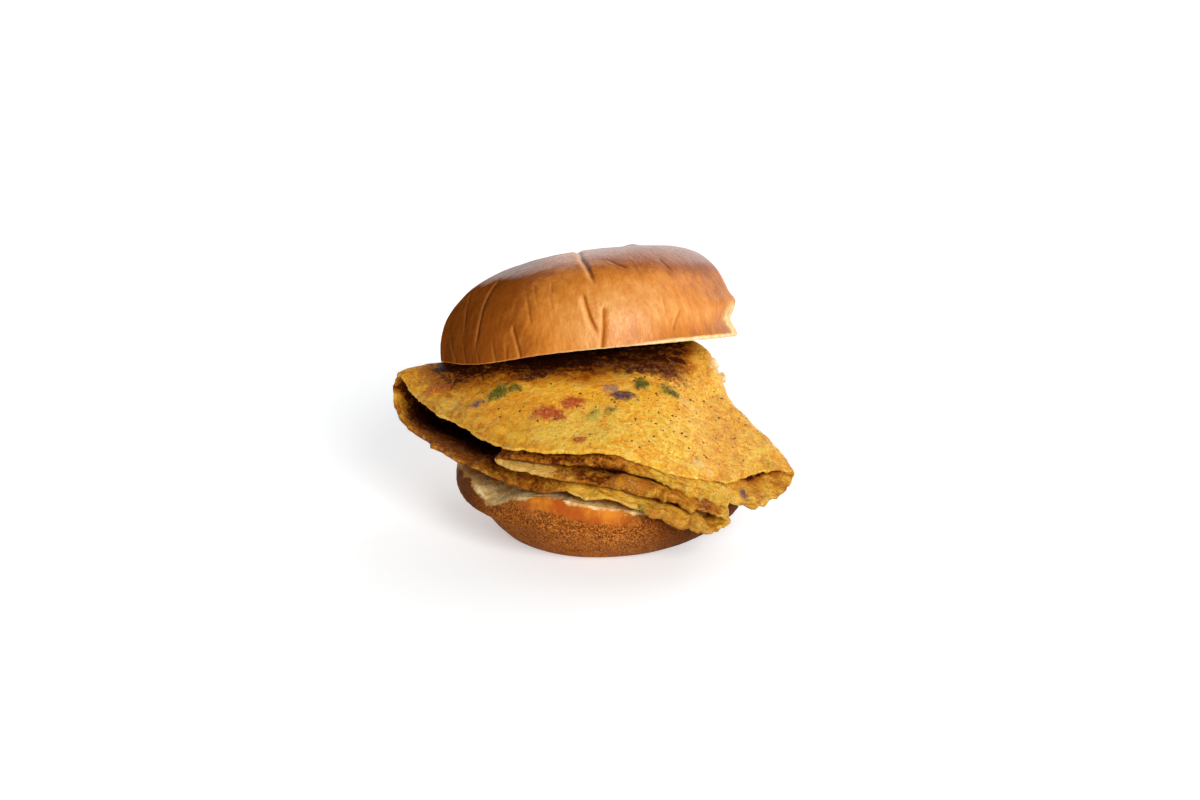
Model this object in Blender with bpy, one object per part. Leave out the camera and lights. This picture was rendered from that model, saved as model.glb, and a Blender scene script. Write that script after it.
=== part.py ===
"""Breakfast sandwich: a folded vegetable omelette in a soft split bun.

Frame: metres, +Z up, +Y away from the open side, +X to the right seen from
that side. The origin is the middle of the flat foot of the bun's heel.
"""
import math

import bmesh
import bpy
from mathutils import Matrix, Vector, noise
from mathutils.geometry import tessellate_polygon

MM = 0.001

# Bun crown, in its own frame: cut face at z = 0, centre on the axis
CROWN_RADIUS = 52.5 * MM
CROWN_HEIGHT = 34.0 * MM
CROWN_CENTRE = (-5.0 * MM, 8.0 * MM, 61.7 * MM)
CROWN_TILT = math.radians(18.4)
CROWN_ROLL = math.radians(5.1)
CROWN_SIDES = 84
CROWN_RINGS = 13
CROWN_LEFT_POWER = 2.25
CROWN_RIGHT_POWER = 6.0
CROWN_POWER_BLEND = 1.4
CROWN_DOME_POWER = 2.3
CROWN_STRETCH = 0.9 * MM
CROWN_RIGHT_RISE = 0.03
CROWN_EDGE_ROUND = 1.6 * MM
CROWN_HOLLOW = 0.5 * MM
CROWN_WAVE = 0.6 * MM
CREASE_DEPTH = 1.3 * MM
CREASE_WIDTH = 2.2 * MM

# Rim of the crown: it droops at the front left and is torn at the right
DROOP_DEPTH = 2.0 * MM
DROOP_ANGLE = math.radians(227.0)
DROOP_SPREAD = math.radians(24.0)
DROOP_START = 36.0 * MM
DROOP_HEIGHT = 14.0 * MM
TEAR_ANGLE = math.radians(-4.0)
TEAR_SPREAD = math.radians(24.0)
TEAR_LIP = 1.5 * MM
TEAR_LIP_HEIGHT = 12.5 * MM
TEAR_HOLLOW = 2.2 * MM
TEAR_HOLLOW_HEIGHT = 6.0 * MM

# Bun heel
HEEL_RADIUS = 52.0 * MM
HEEL_FOOT_RADIUS = 35.0 * MM
HEEL_WIDEST = 18.0 * MM
HEEL_FULLNESS = 1.7
HEEL_RIGHT_FULLNESS = 0.9
HEEL_STRETCH = 0.9 * MM
HEEL_LEAN = 0.8 * MM
HEEL_WAVE = 0.5 * MM
HEEL_TOP = 25.6 * MM
HEEL_RIDGE = -18.0 * MM
HEEL_FALL = 0.14
HEEL_FLARE = 5.4 * MM
FLARE_ANGLE = math.radians(208.0)
FLARE_SPREAD = math.radians(34.0)
FLARE_LOW = 11.0 * MM
FLARE_HIGH = 15.0 * MM
HEEL_SIDES = 80
HEEL_RIM_ROUND = 1.5 * MM
DIP_ANGLE = math.radians(219.5)
DIP_DEPTH = 5.2 * MM
DIP_START = 33.0 * MM
DIP_LEFT_SPREAD = math.radians(9.0)
DIP_RIGHT_SPREAD = math.radians(14.0)
CUT_WAVE = 0.35 * MM

# Omelette: one round sheet folded twice, so that four layers end at the front
SHEET_EDGE = 1.7 * MM
SHEET_FRONT = 2.8 * MM
SHEET_BACK = 3.2 * MM
SLOT_GAP = 0.7 * MM
REST_GAP = 0.45 * MM
TENT_TOP = 56.6 * MM
TENT_SLOPE = 0.05
TENT_BLEND = 4.0 * MM
APEX = (11.0 * MM, 57.0 * MM)
APEX_WIDTH = 20.0 * MM
APEX_TURN = 0.19
SWELL = 3.6 * MM
SWELL_AT = 0.10
SWELL_LENGTH = 0.08
RIM_CLEARANCE = 2.2 * MM
OVERHANG_FALL = 1.8
CROWN_MARGIN = 4.0 * MM
FOLD_BOW = 1.2 * MM
FOLD_NOTCH = 5.8 * MM
NOTCH_AT = 0.31
NOTCH_LENGTH = 0.15
SHEET_WAVE = 1.2 * MM
END_START = 0.84
END_ROUND = 0.4
TOP_REACH_LEFT = 0.2
TOP_REACH_RIGHT = 0.78
LOW_REACH = 0.5
LOOP_STEPS = 2
STATIONS = 16
POCKET_END = 0.26

# Ragged front edge of each layer, left to right, as (x, y, z) in mm
TOP_LAYER_EDGE = (
    (-66.3, -5.0, 50.8), (-58.3, -16.0, 48.1), (-47.4, -28.0, 46.1), (-34.0, -39.5, 43.3),
    (-21.6, -45.5, 43.8), (-8.1, -49.5, 44.3), (3.0, -51.0, 45.2), (16.5, -52.0, 41.1),
    (26.5, -51.5, 37.6), (34.0, -49.0, 35.2), (41.5, -43.5, 31.8), (49.0, -36.5, 30.6),
    (56.5, -29.5, 30.2), (63.2, -24.0, 28.8))
SECOND_LAYER_EDGE = (
    (-31.6, -40.5, 39.3), (-21.7, -45.0, 40.0), (-8.1, -49.0, 40.3), (3.7, -50.5, 39.8),
    (16.5, -51.5, 36.4), (27.0, -50.5, 31.1), (36.3, -47.5, 25.8), (46.5, -42.5, 22.3),
    (56.9, -33.5, 20.2), (64.2, -26.0, 22.7))
THIRD_LAYER_EDGE = (
    (-32.3, -41.0, 36.6), (-25.8, -45.5, 36.7), (-18.6, -48.5, 36.1), (-9.4, -51.0, 35.4),
    (0.0, -52.5, 34.0), (11.5, -53.0, 31.9), (21.6, -53.0, 29.0), (31.5, -51.5, 24.9),
    (39.4, -48.5, 22.2))
LOWEST_LAYER_EDGE = (
    (-71.7, -0.5, 42.6), (-68.2, -6.5, 38.8), (-61.6, -13.0, 36.2), (-55.3, -19.0, 34.0),
    (-48.5, -25.0, 32.0), (-39.9, -31.5, 29.9), (-30.1, -38.5, 28.3), (-19.4, -45.5, 28.3),
    (-12.2, -49.5, 30.6), (-5.4, -51.5, 28.2), (2.7, -53.3, 28.9), (13.5, -54.0, 25.2),
    (22.0, -54.0, 21.2), (30.5, -53.0, 18.0), (39.4, -50.0, 16.6))
OUTER_NOSE = ((-70.4, 1.8, 54.4), (-72.6, 3.0, 48.0))
INNER_NOSE = (-35.3, -38.0, 37.6)
UPPER_FOLD = (67.0, -21.5, 25.6)
LOWER_FOLD = (43.5, -46.5, 18.6)

# Pieces of pepper, tomato and onion that stand a little proud of the top layer: x, y, size in mm
BITS = (
    (-17.1, -29.4, 10.5), (-9.3, -25.1, 6.5), (-57.0, -7.2, 7.0), (-6.8, -44.1, 3.6),
    (-35.7, -15.2, 7.5), (-2.0, -33.1, 5.0), (3.8, -30.8, 4.5), (14.9, -12.7, 5.2),
    (24.3, -13.2, 6.5), (8.6, -21.8, 7.0), (-43.8, -19.8, 5.6))
BIT_RISE = 0.7 * MM


def smoothstep(low, high, value):
    """Smooth ramp from 0 at low to 1 at high."""
    t = min(1.0, max(0.0, (value - low) / (high - low)))
    return t * t * (3.0 - 2.0 * t)


def bell(value, centre, width):
    """Smooth bump of height 1 at the centre."""
    return math.exp(-((value - centre) / width) ** 2)


def angle_between(a, b):
    """Smallest signed turn from b to a."""
    return (a - b + math.pi) % (2.0 * math.pi) - math.pi


def waver(x, y, z, size):
    """Gentle unevenness between -1 and 1, of the given feature size."""
    return noise.noise(Vector((x / size, y / size, z / size)))


def new_object(name, points, faces, colour, roughness):
    """Mesh object with its own material, shaded smooth."""
    mesh = bpy.data.meshes.new(name)
    mesh.from_pydata([tuple(p) for p in points], [], faces)
    work = bmesh.new()
    work.from_mesh(mesh)
    bmesh.ops.recalc_face_normals(work, faces=work.faces)
    work.to_mesh(mesh)
    work.free()
    mesh.shade_smooth()
    material = bpy.data.materials.new(name + "_surface")
    material.use_nodes = True
    shader = material.node_tree.nodes["Principled BSDF"]
    shader.inputs["Base Color"].default_value = (*colour, 1.0)
    shader.inputs["Roughness"].default_value = roughness
    shader.inputs["Metallic"].default_value = 0.0
    mesh.materials.append(material)
    thing = bpy.data.objects.new(name, mesh)
    bpy.context.scene.collection.objects.link(thing)
    return thing


def ring_faces(first, second, count):
    """Quads between two rings of the same count, by their start indices."""
    return [
        (first + i, first + (i + 1) % count, second + (i + 1) % count, second + i)
        for i in range(count)]


def lathe(rings, bottom, top):
    """Closed body from rings stacked bottom to top, with a middle point at each end."""
    count = len(rings[0])
    points = [bottom]
    faces = [(0, 1 + (i + 1) % count, 1 + i) for i in range(count)]
    for ring in rings:
        points.extend(ring)
    for k in range(len(rings) - 1):
        faces.extend(ring_faces(1 + k * count, 1 + (k + 1) * count, count))
    last = 1 + (len(rings) - 1) * count
    points.append(top)
    faces.extend((last + i, last + (i + 1) % count, len(points) - 1) for i in range(count))
    return points, faces


def crown_power(angle):
    """Squareness of the crown's side: softly round at the left, upright at the right."""
    side = 0.5 + 0.5 * math.cos(angle)
    return CROWN_LEFT_POWER + (CROWN_RIGHT_POWER - CROWN_LEFT_POWER) * side ** CROWN_POWER_BLEND


def crown_plain(angle, climb):
    """Crown surface without relief; climb runs from 0 at the cut edge to 90 degrees on top."""
    power = 2.0 / crown_power(angle)
    radius = (CROWN_RADIUS + CROWN_STRETCH * math.cos(angle)) * math.cos(climb) ** power
    height = CROWN_HEIGHT * math.sin(climb) ** (2.0 / CROWN_DOME_POWER)
    height *= 1.0 + CROWN_RIGHT_RISE * math.cos(angle) * radius / CROWN_RADIUS
    return Vector((radius * math.cos(angle), radius * math.sin(angle), height))


def crown_front(x, height):
    """Point of the crown's open side at a sideways place and a height, both in mm."""
    climb = math.asin(min(1.0, height * MM / CROWN_HEIGHT) ** (CROWN_DOME_POWER / 2.0))
    angle = -math.pi / 2.0
    for _ in range(6):
        reach = CROWN_RADIUS * math.cos(climb) ** (2.0 / crown_power(angle))
        angle = -math.acos(max(-1.0, min(1.0, x * MM / max(reach, MM))))
    return crown_plain(angle, climb)


def crown_creases():
    """Paths of the folds that the soft crust shows, with the depth of each."""
    main = [Vector((-3.0 * MM, 18.0 * MM, 33.0 * MM)), Vector((-2.0 * MM, 0.0, 34.0 * MM))]
    main += [crown_front(0.5, 30.5), crown_front(3.5, 25.5)]
    light = [crown_front(-0.5, 17.0), crown_front(3.5, 5.0)]
    dark = [crown_front(6.8, 11.0), crown_front(4.8, 0.5)]
    long_left = [crown_front(-30.8, 24.0), crown_front(-37.5, 12.5), crown_front(-39.6, 4.0)]
    short_left = [crown_front(-41.0, 20.0), crown_front(-41.5, 14.0)]
    return ((main, 1.3), (light, 0.5), (dark, 0.9), (long_left, 0.7), (short_left, 0.5))


def distance_to_path(point, path):
    """Distance from a point to a path of straight pieces."""
    best = 1.0
    for a, b in zip(path, path[1:]):
        along = b - a
        t = max(0.0, min(1.0, (point - a).dot(along) / along.length_squared))
        best = min(best, (point - a - along * t).length)
    return best


def crown_relief(point, angle, creases):
    """How far the crust stands out from the plain form at a point."""
    relief = 0.0
    for path, depth in creases:
        gap = distance_to_path(point, path)
        relief -= CREASE_DEPTH * depth * bell(gap, 0.0, CREASE_WIDTH)
    right = bell(angle_between(angle, TEAR_ANGLE), 0.0, TEAR_SPREAD)
    relief += right * TEAR_LIP * bell(point.z, TEAR_LIP_HEIGHT, 2.6 * MM)
    relief -= right * TEAR_HOLLOW * bell(point.z, TEAR_HOLLOW_HEIGHT, 3.0 * MM)
    return relief + CROWN_WAVE * waver(point.x, point.y, point.z, 22.0 * MM)


def crown_droop(x, y):
    """How far the crown's cut face hangs below its plane at a place in the crown's own frame."""
    turn = angle_between(math.atan2(y, x), DROOP_ANGLE)
    outward = smoothstep(DROOP_START, CROWN_RADIUS, math.hypot(x, y))
    return DROOP_DEPTH * bell(turn, 0.0, DROOP_SPREAD) * outward


def make_crown():
    """Domed top half of the bun, lying tilted on the omelette."""
    creases = crown_creases()
    rings = []
    for inset in (0.55, 0.86, 1.0):
        reach = CROWN_RADIUS * inset - CROWN_EDGE_ROUND * (1.0 if inset == 1.0 else 0.5)
        hollow = CROWN_HOLLOW * (1.0 - inset)
        ring = []
        for i in range(CROWN_SIDES):
            angle = 2.0 * math.pi * i / CROWN_SIDES
            x = reach * math.cos(angle)
            y = reach * math.sin(angle)
            ring.append(Vector((x, y, hollow - crown_droop(x, y))))
        rings.append(ring)
    for k in range(CROWN_RINGS):
        climb = math.radians(3.0 + 83.0 * (k / (CROWN_RINGS - 1.0)) ** 1.05)
        ring = []
        for i in range(CROWN_SIDES):
            angle = 2.0 * math.pi * i / CROWN_SIDES
            point = crown_plain(angle, climb)
            out = Vector((point.x, point.y, 0.0)).normalized()
            lean = math.sin(climb) ** 2
            normal = (out * (1.0 - lean) + Vector((0.0, 0.0, lean))).normalized()
            hang = crown_droop(out.x * CROWN_RADIUS, out.y * CROWN_RADIUS)
            hang *= 1.0 - smoothstep(0.0, DROOP_HEIGHT, point.z)
            point = point + normal * crown_relief(point, angle, creases)
            ring.append(point - Vector((0.0, 0.0, hang)))
        rings.append(ring)
    points, faces = lathe(
        rings, Vector((0.0, 0.0, CROWN_HOLLOW)), Vector((0.0, 0.0, CROWN_HEIGHT)))
    crown = new_object("bun_crown", points, faces, (0.60, 0.25, 0.065), 0.42)
    crown.rotation_mode = "XYZ"
    crown.rotation_euler = (-CROWN_TILT, -CROWN_ROLL, 0.0)
    crown.location = CROWN_CENTRE
    return crown


def crown_underside(x, y):
    """Height of the crown's cut face above the ground at a place."""
    turn = Matrix.Rotation(-CROWN_ROLL, 3, "Y") @ Matrix.Rotation(-CROWN_TILT, 3, "X")
    normal = turn @ Vector((0.0, 0.0, 1.0))
    centre = Vector(CROWN_CENTRE)
    plane = centre.z - (normal.x * (x - centre.x) + normal.y * (y - centre.y)) / normal.z
    return plane - crown_droop(x - centre.x, (y - centre.y) / normal.z) / normal.z


def heel_top(x, y):
    """Height of the heel's cut face: a low ridge, torn down at the front left."""
    radius = math.hypot(x, y)
    angle = math.atan2(y, x)
    height = HEEL_TOP - HEEL_FALL * HEEL_RIDGE - HEEL_FALL * abs(x - HEEL_RIDGE)
    turn = angle_between(angle, DIP_ANGLE)
    spread = DIP_RIGHT_SPREAD if turn > 0.0 else DIP_LEFT_SPREAD
    height -= DIP_DEPTH * bell(turn, 0.0, spread) * smoothstep(DIP_START, HEEL_RADIUS, radius)
    return height + CUT_WAVE * waver(x, y, 0.0, 12.0 * MM)


def heel_side(angle, height, top):
    """Radius of the heel's crust at a height: a bowl, with a lip that flares at the left."""
    left = bell(angle_between(angle, FLARE_ANGLE), 0.0, FLARE_SPREAD)
    widest = HEEL_RADIUS + HEEL_STRETCH * math.cos(angle) - HEEL_FLARE * left
    depth = 1.0 - min(1.0, height / HEEL_WIDEST)
    fullness = HEEL_FULLNESS + HEEL_RIGHT_FULLNESS * max(0.0, math.cos(angle))
    radius = HEEL_FOOT_RADIUS + (widest - HEEL_FOOT_RADIUS) * (1.0 - depth ** fullness)
    over = max(0.0, height - HEEL_WIDEST) / max(top - HEEL_WIDEST, MM)
    radius -= HEEL_LEAN * over * over
    radius += left * HEEL_FLARE * smoothstep(FLARE_LOW, FLARE_HIGH, height)
    return radius + HEEL_WAVE * waver(math.cos(angle), math.sin(angle), height * 40.0, 0.6)


def make_heel():
    """Bottom half of the bun, a shallow bowl of crust with a torn cut face on top."""
    angles = [2.0 * math.pi * i / HEEL_SIDES for i in range(HEEL_SIDES)]
    rings = []
    for reach in (0.6, 1.0):
        radius = HEEL_FOOT_RADIUS * reach
        rings.append([Vector((radius * math.cos(a), radius * math.sin(a), 0.0)) for a in angles])
    for share in (0.02, 0.09, 0.22, 0.4, 0.6, 0.8, 0.93):
        ring = []
        for a in angles:
            edge = heel_top(HEEL_RADIUS * math.cos(a), HEEL_RADIUS * math.sin(a))
            height = edge * share
            radius = heel_side(a, height, edge)
            ring.append(Vector((radius * math.cos(a), radius * math.sin(a), height)))
        rings.append(ring)
    for share in (1.0, 0.94, 0.86, 0.76, 0.62, 0.36):
        ring = []
        for a in angles:
            edge = heel_top(HEEL_RADIUS * math.cos(a), HEEL_RADIUS * math.sin(a))
            radius = (heel_side(a, edge, edge) - HEEL_RIM_ROUND) * share
            x = radius * math.cos(a)
            y = radius * math.sin(a)
            ring.append(Vector((x, y, heel_top(x, y))))
        rings.append(ring)
    points, faces = lathe(rings, Vector((0.0, 0.0, 0.0)), Vector((0.0, 0.0, heel_top(0.0, 0.0))))
    return new_object("bun_heel", points, faces, (0.44, 0.17, 0.06), 0.6)


def fold_controls():
    """Control points of the folded sheet's front edge, once round the sheet.

    Each is (edge point, layer, share across from the left fold to the right fold).
    """
    controls = []

    def add(edge, layer, low, high):
        first = edge[0][0]
        last = edge[-1][0]
        for spot in edge:
            share = low + (high - low) * (spot[0] - first) / (last - first)
            controls.append((Vector(spot) * MM, layer, share))

    add(tuple(reversed(TOP_LAYER_EDGE)), 1.0, 0.97, 0.05)
    controls.append((Vector(OUTER_NOSE[0]) * MM, 1.05, 0.0))
    controls.append((Vector(OUTER_NOSE[1]) * MM, 2.5, -0.04))
    add(LOWEST_LAYER_EDGE, 4.0, 0.05, 0.9)
    controls.append((Vector(LOWER_FOLD) * MM, 3.5, 0.95))
    add(tuple(reversed(THIRD_LAYER_EDGE)), 3.0, 0.9, 0.3)
    controls.append((Vector(INNER_NOSE) * MM, 2.5, 0.24))
    add(SECOND_LAYER_EDGE, 2.0, 0.3, 0.97)
    controls.append((Vector(UPPER_FOLD) * MM, 1.5, 1.03))
    return controls


def soft_min(a, b, blend):
    """Smaller of two lengths, with a rounded change from one to the other."""
    t = max(0.0, min(1.0, 0.5 + 0.5 * (b - a) / blend))
    return b + (a - b) * t - blend * t * (1.0 - t)


def stack_height(x, y, layer, fullness):
    """Height of a layer's middle between the heel and the crown, layer 1 on top.

    The upper two layers make one roll at the right and the lower two another; fullness
    below 1 draws each roll in towards its own middle.
    """
    low = heel_top(x, y) + REST_GAP + SHEET_BACK / 2.0
    high = crown_underside(x, y) - REST_GAP - SHEET_BACK / 2.0
    high = soft_min(high, TENT_TOP + TENT_SLOPE * max(0.0, x), TENT_BLEND)
    middle = 0.5 * (low + high)
    half_slot = 0.5 * (SHEET_BACK + SLOT_GAP)
    if layer > 3.0:
        share = 4.0 - layer
        return low + (middle - half_slot - low) * (0.5 + (share - 0.5) * fullness)
    if layer <= 2.0:
        share = layer - 1.0
        return high + (middle + half_slot - high) * (0.5 + (share - 0.5) * fullness)
    return middle + half_slot * 2.0 * (2.5 - layer)


def swell_share(x):
    """How strongly the lowest layer swells behind its rim, by its sideways place."""
    return smoothstep(-50.0 * MM, -40.0 * MM, x) * (1.0 - smoothstep(18.0 * MM, 34.0 * MM, x))


def sheet_controls(along):
    """The sheet's control points at a station, from 0 at the front edge to 1 at the back."""
    result = []
    fullness = 1.0 - END_ROUND * smoothstep(END_START, 1.0, along) ** 2
    for edge, layer, share in fold_controls():
        back_x = APEX[0] + APEX_WIDTH * (share - 0.5)
        back_y = APEX[1] - APEX_TURN * APEX_WIDTH * (share - 0.5)
        bow = FOLD_BOW * math.sin(math.pi * along) + FOLD_NOTCH * bell(along, NOTCH_AT, NOTCH_LENGTH)
        bow *= smoothstep(0.6, 1.0, share)
        x = edge.x + (back_x - edge.x) * along - bow * (1.0 if layer <= 2.0 else 0.0)
        y = edge.y + (back_y - edge.y) * along
        top_reach = TOP_REACH_LEFT + (TOP_REACH_RIGHT - TOP_REACH_LEFT) * share
        mix = smoothstep(1.0, 2.2, layer)
        t = min(1.0, along / (top_reach + (LOW_REACH - top_reach) * mix))
        settle = 1.5 * t - 0.5 * t ** 3
        inside = stack_height(x, y, layer, fullness)
        inside += SHEET_WAVE * waver(x, y, 0.02 * layer, 26.0 * MM)
        z = edge.z + (inside - edge.z) * settle
        if layer == 4.0:
            z += SWELL * bell(along, SWELL_AT, SWELL_LENGTH) * swell_share(edge.x)
        result.append(Vector((x, y, z)))
    return result


def loop_points(controls, spacing, steps):
    """Smooth closed curve through the control points, with the same count at each station."""
    count = len(controls)
    slopes = []
    for i in range(count):
        before = spacing[i - 1]
        after = spacing[i]
        step_in = (controls[i] - controls[i - 1]) / before
        step_out = (controls[(i + 1) % count] - controls[i]) / after
        slopes.append((step_in * after + step_out * before) / (before + after))
    points = []
    for i in range(count):
        j = (i + 1) % count
        for k in range(steps):
            t = k / steps
            start = (2 * t ** 3 - 3 * t ** 2 + 1) * controls[i]
            start += (t ** 3 - 2 * t ** 2 + t) * spacing[i] * slopes[i]
            end = (3 * t ** 2 - 2 * t ** 3) * controls[j]
            end += (t ** 3 - t ** 2) * spacing[i] * slopes[j]
            points.append(start + end)
    return points


def sheet_thickness(along):
    """Thickness of the sheet, thin at its raw edge."""
    edge = SHEET_EDGE + (SHEET_FRONT - SHEET_EDGE) * smoothstep(0.0, 0.04, along)
    return edge + (SHEET_BACK - SHEET_FRONT) * smoothstep(0.12, 0.5, along)


def bit_rise(point):
    """Low bump where a piece of vegetable lies in the top layer."""
    rise = 0.0
    for x, y, size in BITS:
        gap = math.hypot(point.x - x * MM, point.y - y * MM)
        rise = max(rise, BIT_RISE * (1.0 - smoothstep(0.2, 1.0, gap / (size * 0.6 * MM))))
    return rise


def keep_between_halves(point):
    """Lift a point clear of the heel and press it clear of the crown."""
    angle = math.atan2(point.y, point.x)
    edge = heel_top(HEEL_RADIUS * math.cos(angle), HEEL_RADIUS * math.sin(angle))
    beyond = math.hypot(point.x, point.y) - heel_side(angle, edge, edge) - RIM_CLEARANCE
    floor = heel_top(point.x, point.y) + REST_GAP - OVERHANG_FALL * max(0.0, beyond)
    point.z = max(point.z, floor)
    centre = Vector(CROWN_CENTRE)
    beside = math.hypot(point.x - centre.x, (point.y - centre.y) * math.cos(CROWN_TILT))
    if beside < CROWN_RADIUS + CROWN_MARGIN:
        point.z = min(point.z, crown_underside(point.x, point.y) - REST_GAP)
    return point


def make_omelette():
    """Thin sheet folded in quarters: four layers with open pockets and a ragged front."""
    edge = [spot for spot, _, _ in fold_controls()]
    spacing = [(edge[(i + 1) % len(edge)] - edge[i]).length for i in range(len(edge))]
    stations = [0.0, 0.03] + [0.08 + 0.92 * k / (STATIONS - 1.0) for k in range(STATIONS)]
    grid = [loop_points(sheet_controls(v), spacing, LOOP_STEPS) for v in stations]
    count = len(grid[0])
    outside = []
    inside = []
    for row, v in enumerate(stations):
        before = grid[max(row - 1, 0)]
        after = grid[min(row + 1, len(grid) - 1)]
        outer_ring = []
        inner_ring = []
        for i in range(count):
            across = grid[row][(i + 1) % count] - grid[row][i - 1]
            along = after[i] - before[i]
            normal = along.cross(across).normalized()
            half = sheet_thickness(v) / 2.0
            end = smoothstep(0.93, 1.0, v)
            outer = grid[row][i] + normal * half * math.sqrt(1.0 - 0.9 * end)
            if normal.z > 0.5 and i < len(TOP_LAYER_EDGE) * LOOP_STEPS:
                outer.z += bit_rise(outer)
            outer_ring.append(keep_between_halves(outer))
            inner_ring.append(keep_between_halves(grid[row][i] - normal * half))
        outside.append(outer_ring)
        if v <= POCKET_END:
            inside.append(inner_ring)
    points = [p for ring in outside for p in ring]
    faces = []
    for row in range(len(outside) - 1):
        faces.extend(ring_faces(row * count, (row + 1) * count, count))
    offset = len(points)
    points.extend(p for ring in inside for p in ring)
    for row in range(len(inside) - 1):
        faces.extend(
            tuple(reversed(f)) for f in
            ring_faces(offset + row * count, offset + (row + 1) * count, count))
    faces.extend(tuple(reversed(f)) for f in ring_faces(0, offset, count))
    for ring, start, flip in (
            (outside[-1], (len(outside) - 1) * count, False),
            (inside[-1], offset + (len(inside) - 1) * count, True)):
        flat = [Vector((p.x, p.z)) for p in ring]
        for triangle in tessellate_polygon([[Vector((p.x, p.y, 0.0)) for p in flat]]):
            face = tuple(start + k for k in triangle)
            faces.append(tuple(reversed(face)) if flip else face)
    return new_object("omelette", points, faces, (0.83, 0.48, 0.09), 0.5)


def main():
    """Build the three pieces."""
    for thing in list(bpy.data.objects):
        bpy.data.objects.remove(thing)
    make_heel()
    make_omelette()
    make_crown()


main()
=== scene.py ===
import math
import random

import bmesh
import bpy
import numpy as np
from mathutils import Matrix, Vector, noise
from mathutils.geometry import tessellate_polygon


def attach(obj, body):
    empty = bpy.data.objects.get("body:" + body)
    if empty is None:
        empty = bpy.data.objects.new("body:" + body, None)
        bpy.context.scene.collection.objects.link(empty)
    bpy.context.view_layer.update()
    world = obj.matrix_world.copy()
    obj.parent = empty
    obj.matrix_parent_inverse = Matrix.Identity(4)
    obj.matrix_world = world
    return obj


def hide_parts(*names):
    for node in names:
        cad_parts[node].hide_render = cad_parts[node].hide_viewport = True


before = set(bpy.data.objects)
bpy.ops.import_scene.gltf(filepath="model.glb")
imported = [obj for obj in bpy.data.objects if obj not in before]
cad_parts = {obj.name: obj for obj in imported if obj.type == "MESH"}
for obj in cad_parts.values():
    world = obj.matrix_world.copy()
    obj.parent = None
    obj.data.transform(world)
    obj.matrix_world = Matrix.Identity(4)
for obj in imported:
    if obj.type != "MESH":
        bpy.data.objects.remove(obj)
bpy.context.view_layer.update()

# One mm in metres
MM = 0.001

# Bun crown, in its own frame: cut face at z = 0, centre on the axis
CROWN_RADIUS = 52.5
CROWN_HEIGHT = 34
CROWN_CENTRE = (-5, 8, 61.7)
CROWN_TILT = math.radians(18.4)
CROWN_ROLL = math.radians(5.1)
CROWN_SIDES = 640
CROWN_RINGS = 134
CROWN_LEFT_POWER = 2.25
CROWN_RIGHT_POWER = 6
CROWN_POWER_BLEND = 1.4
CROWN_DOME_POWER = 2.3
CROWN_STRETCH = 0.9
CROWN_RIGHT_RISE = 0.03
CROWN_HOLLOW = 0.5
CROWN_WAVE = 0.6
# Low swells on the crown's top: middle (x, y), half sizes and rise in mm
CROWN_SWELLS = ((8.5, -4, 8, 14, 0.7), (19.3, -1, 2.6, 3.2, 0.8))
# Tilt and roll of the crown together
CROWN_TURN = Matrix.Rotation(-CROWN_ROLL, 3, "Y") @ Matrix.Rotation(-CROWN_TILT, 3, "X")
# Folds of the crust: points as (x, height) on the open side or as (x, y, z), then the depth and the
# widths at their left and right in mm, and whether the ends taper off
CREASES = (
    (((-1.4, 9, 33.6), (-0.4, 2, 34), (0.6, -8, 34), (1.6, 33.4), (2.4, 31), (4, 28.5),
      (5.5, 24.5), (6.6, 21)), 0.95, 1.2, 0.6, True),
    (((2.2, 19.5), (2.8, 16), (3.9, 11), (6.8, 3.5)), 0.75, 1.5, 0.5, True),
    (((8.6, 13), (8, 6), (7, 0)), 0.7, 0.8, 1.1, False),
    (((-26, 28.5), (-28.4, 26), (-31.5, 21), (-34, 14.5), (-35.6, 9.5), (-37.4, 3)),
     0.7, 0.6, 0.9, True),
    (((-38.2, 24.5), (-39, 20.5), (-40, 14.5), (-40.8, 9)), 0.5, 0.6, 0.8, True),
    (((-22.4, 9.5), (-21.4, 4.5), (-20.8, 0)), 0.45, 0.8, 0.4, False),
    (((-17, 20.5), (-16.4, 15), (-16, 9.5)), 0.25, 0.8, 0.4, True),
    (((-47, 9), (-46, 5), (-45, 0)), 0.45, 0.7, 0.5, False),
    (((10.5, 29.8), (14, 28), (18.5, 25.3)), 0.3, 0.5, 0.4, True),
    (((27.5, 28.8), (30, 26.4), (32.5, 23)), 0.3, 0.5, 0.4, True),
    (((-30.3, 6), (-29.8, 0)), 0.25, 0.6, 0.4, False),
    (((-36.4, 3.5), (-35.8, 0)), 0.25, 0.5, 0.4, False),
    (((-41.7, 6), (-41, 0)), 0.3, 0.6, 0.5, False),
    (((-25.6, 4), (-25.8, 0)), 0.2, 0.5, 0.4, False),
    (((34, 11.5), (32.5, 8), (30.6, 3.5)), 0.4, 0.6, 0.5, True),
    (((28.3, 16), (29.2, 9.5)), 0.3, 0.5, 0.4, True),
    (((-14.4, 24), (-13.4, 15.5)), 0.25, 0.5, 0.6, True),
    (((-8.2, 24.5), (-8.4, 19.5)), 0.22, 0.5, 0.5, True),
    (((-9.2, 20.5), (-8.4, 14)), 0.2, 0.6, 0.4, True))

# Rim of the crown: it droops at the front left and is torn at the right
DROOP_DEPTH = 2
DROOP_ANGLE = math.radians(227)
DROOP_SPREAD = math.radians(24)
DROOP_START = 36
DROOP_HEIGHT = 14
TEAR_ANGLE = math.radians(-4)
TEAR_SPREAD = math.radians(24)
TEAR_LIP = 1.5
TEAR_LIP_HEIGHT = 12.5
TEAR_HOLLOW = 2.2
TEAR_HOLLOW_HEIGHT = 6

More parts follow.
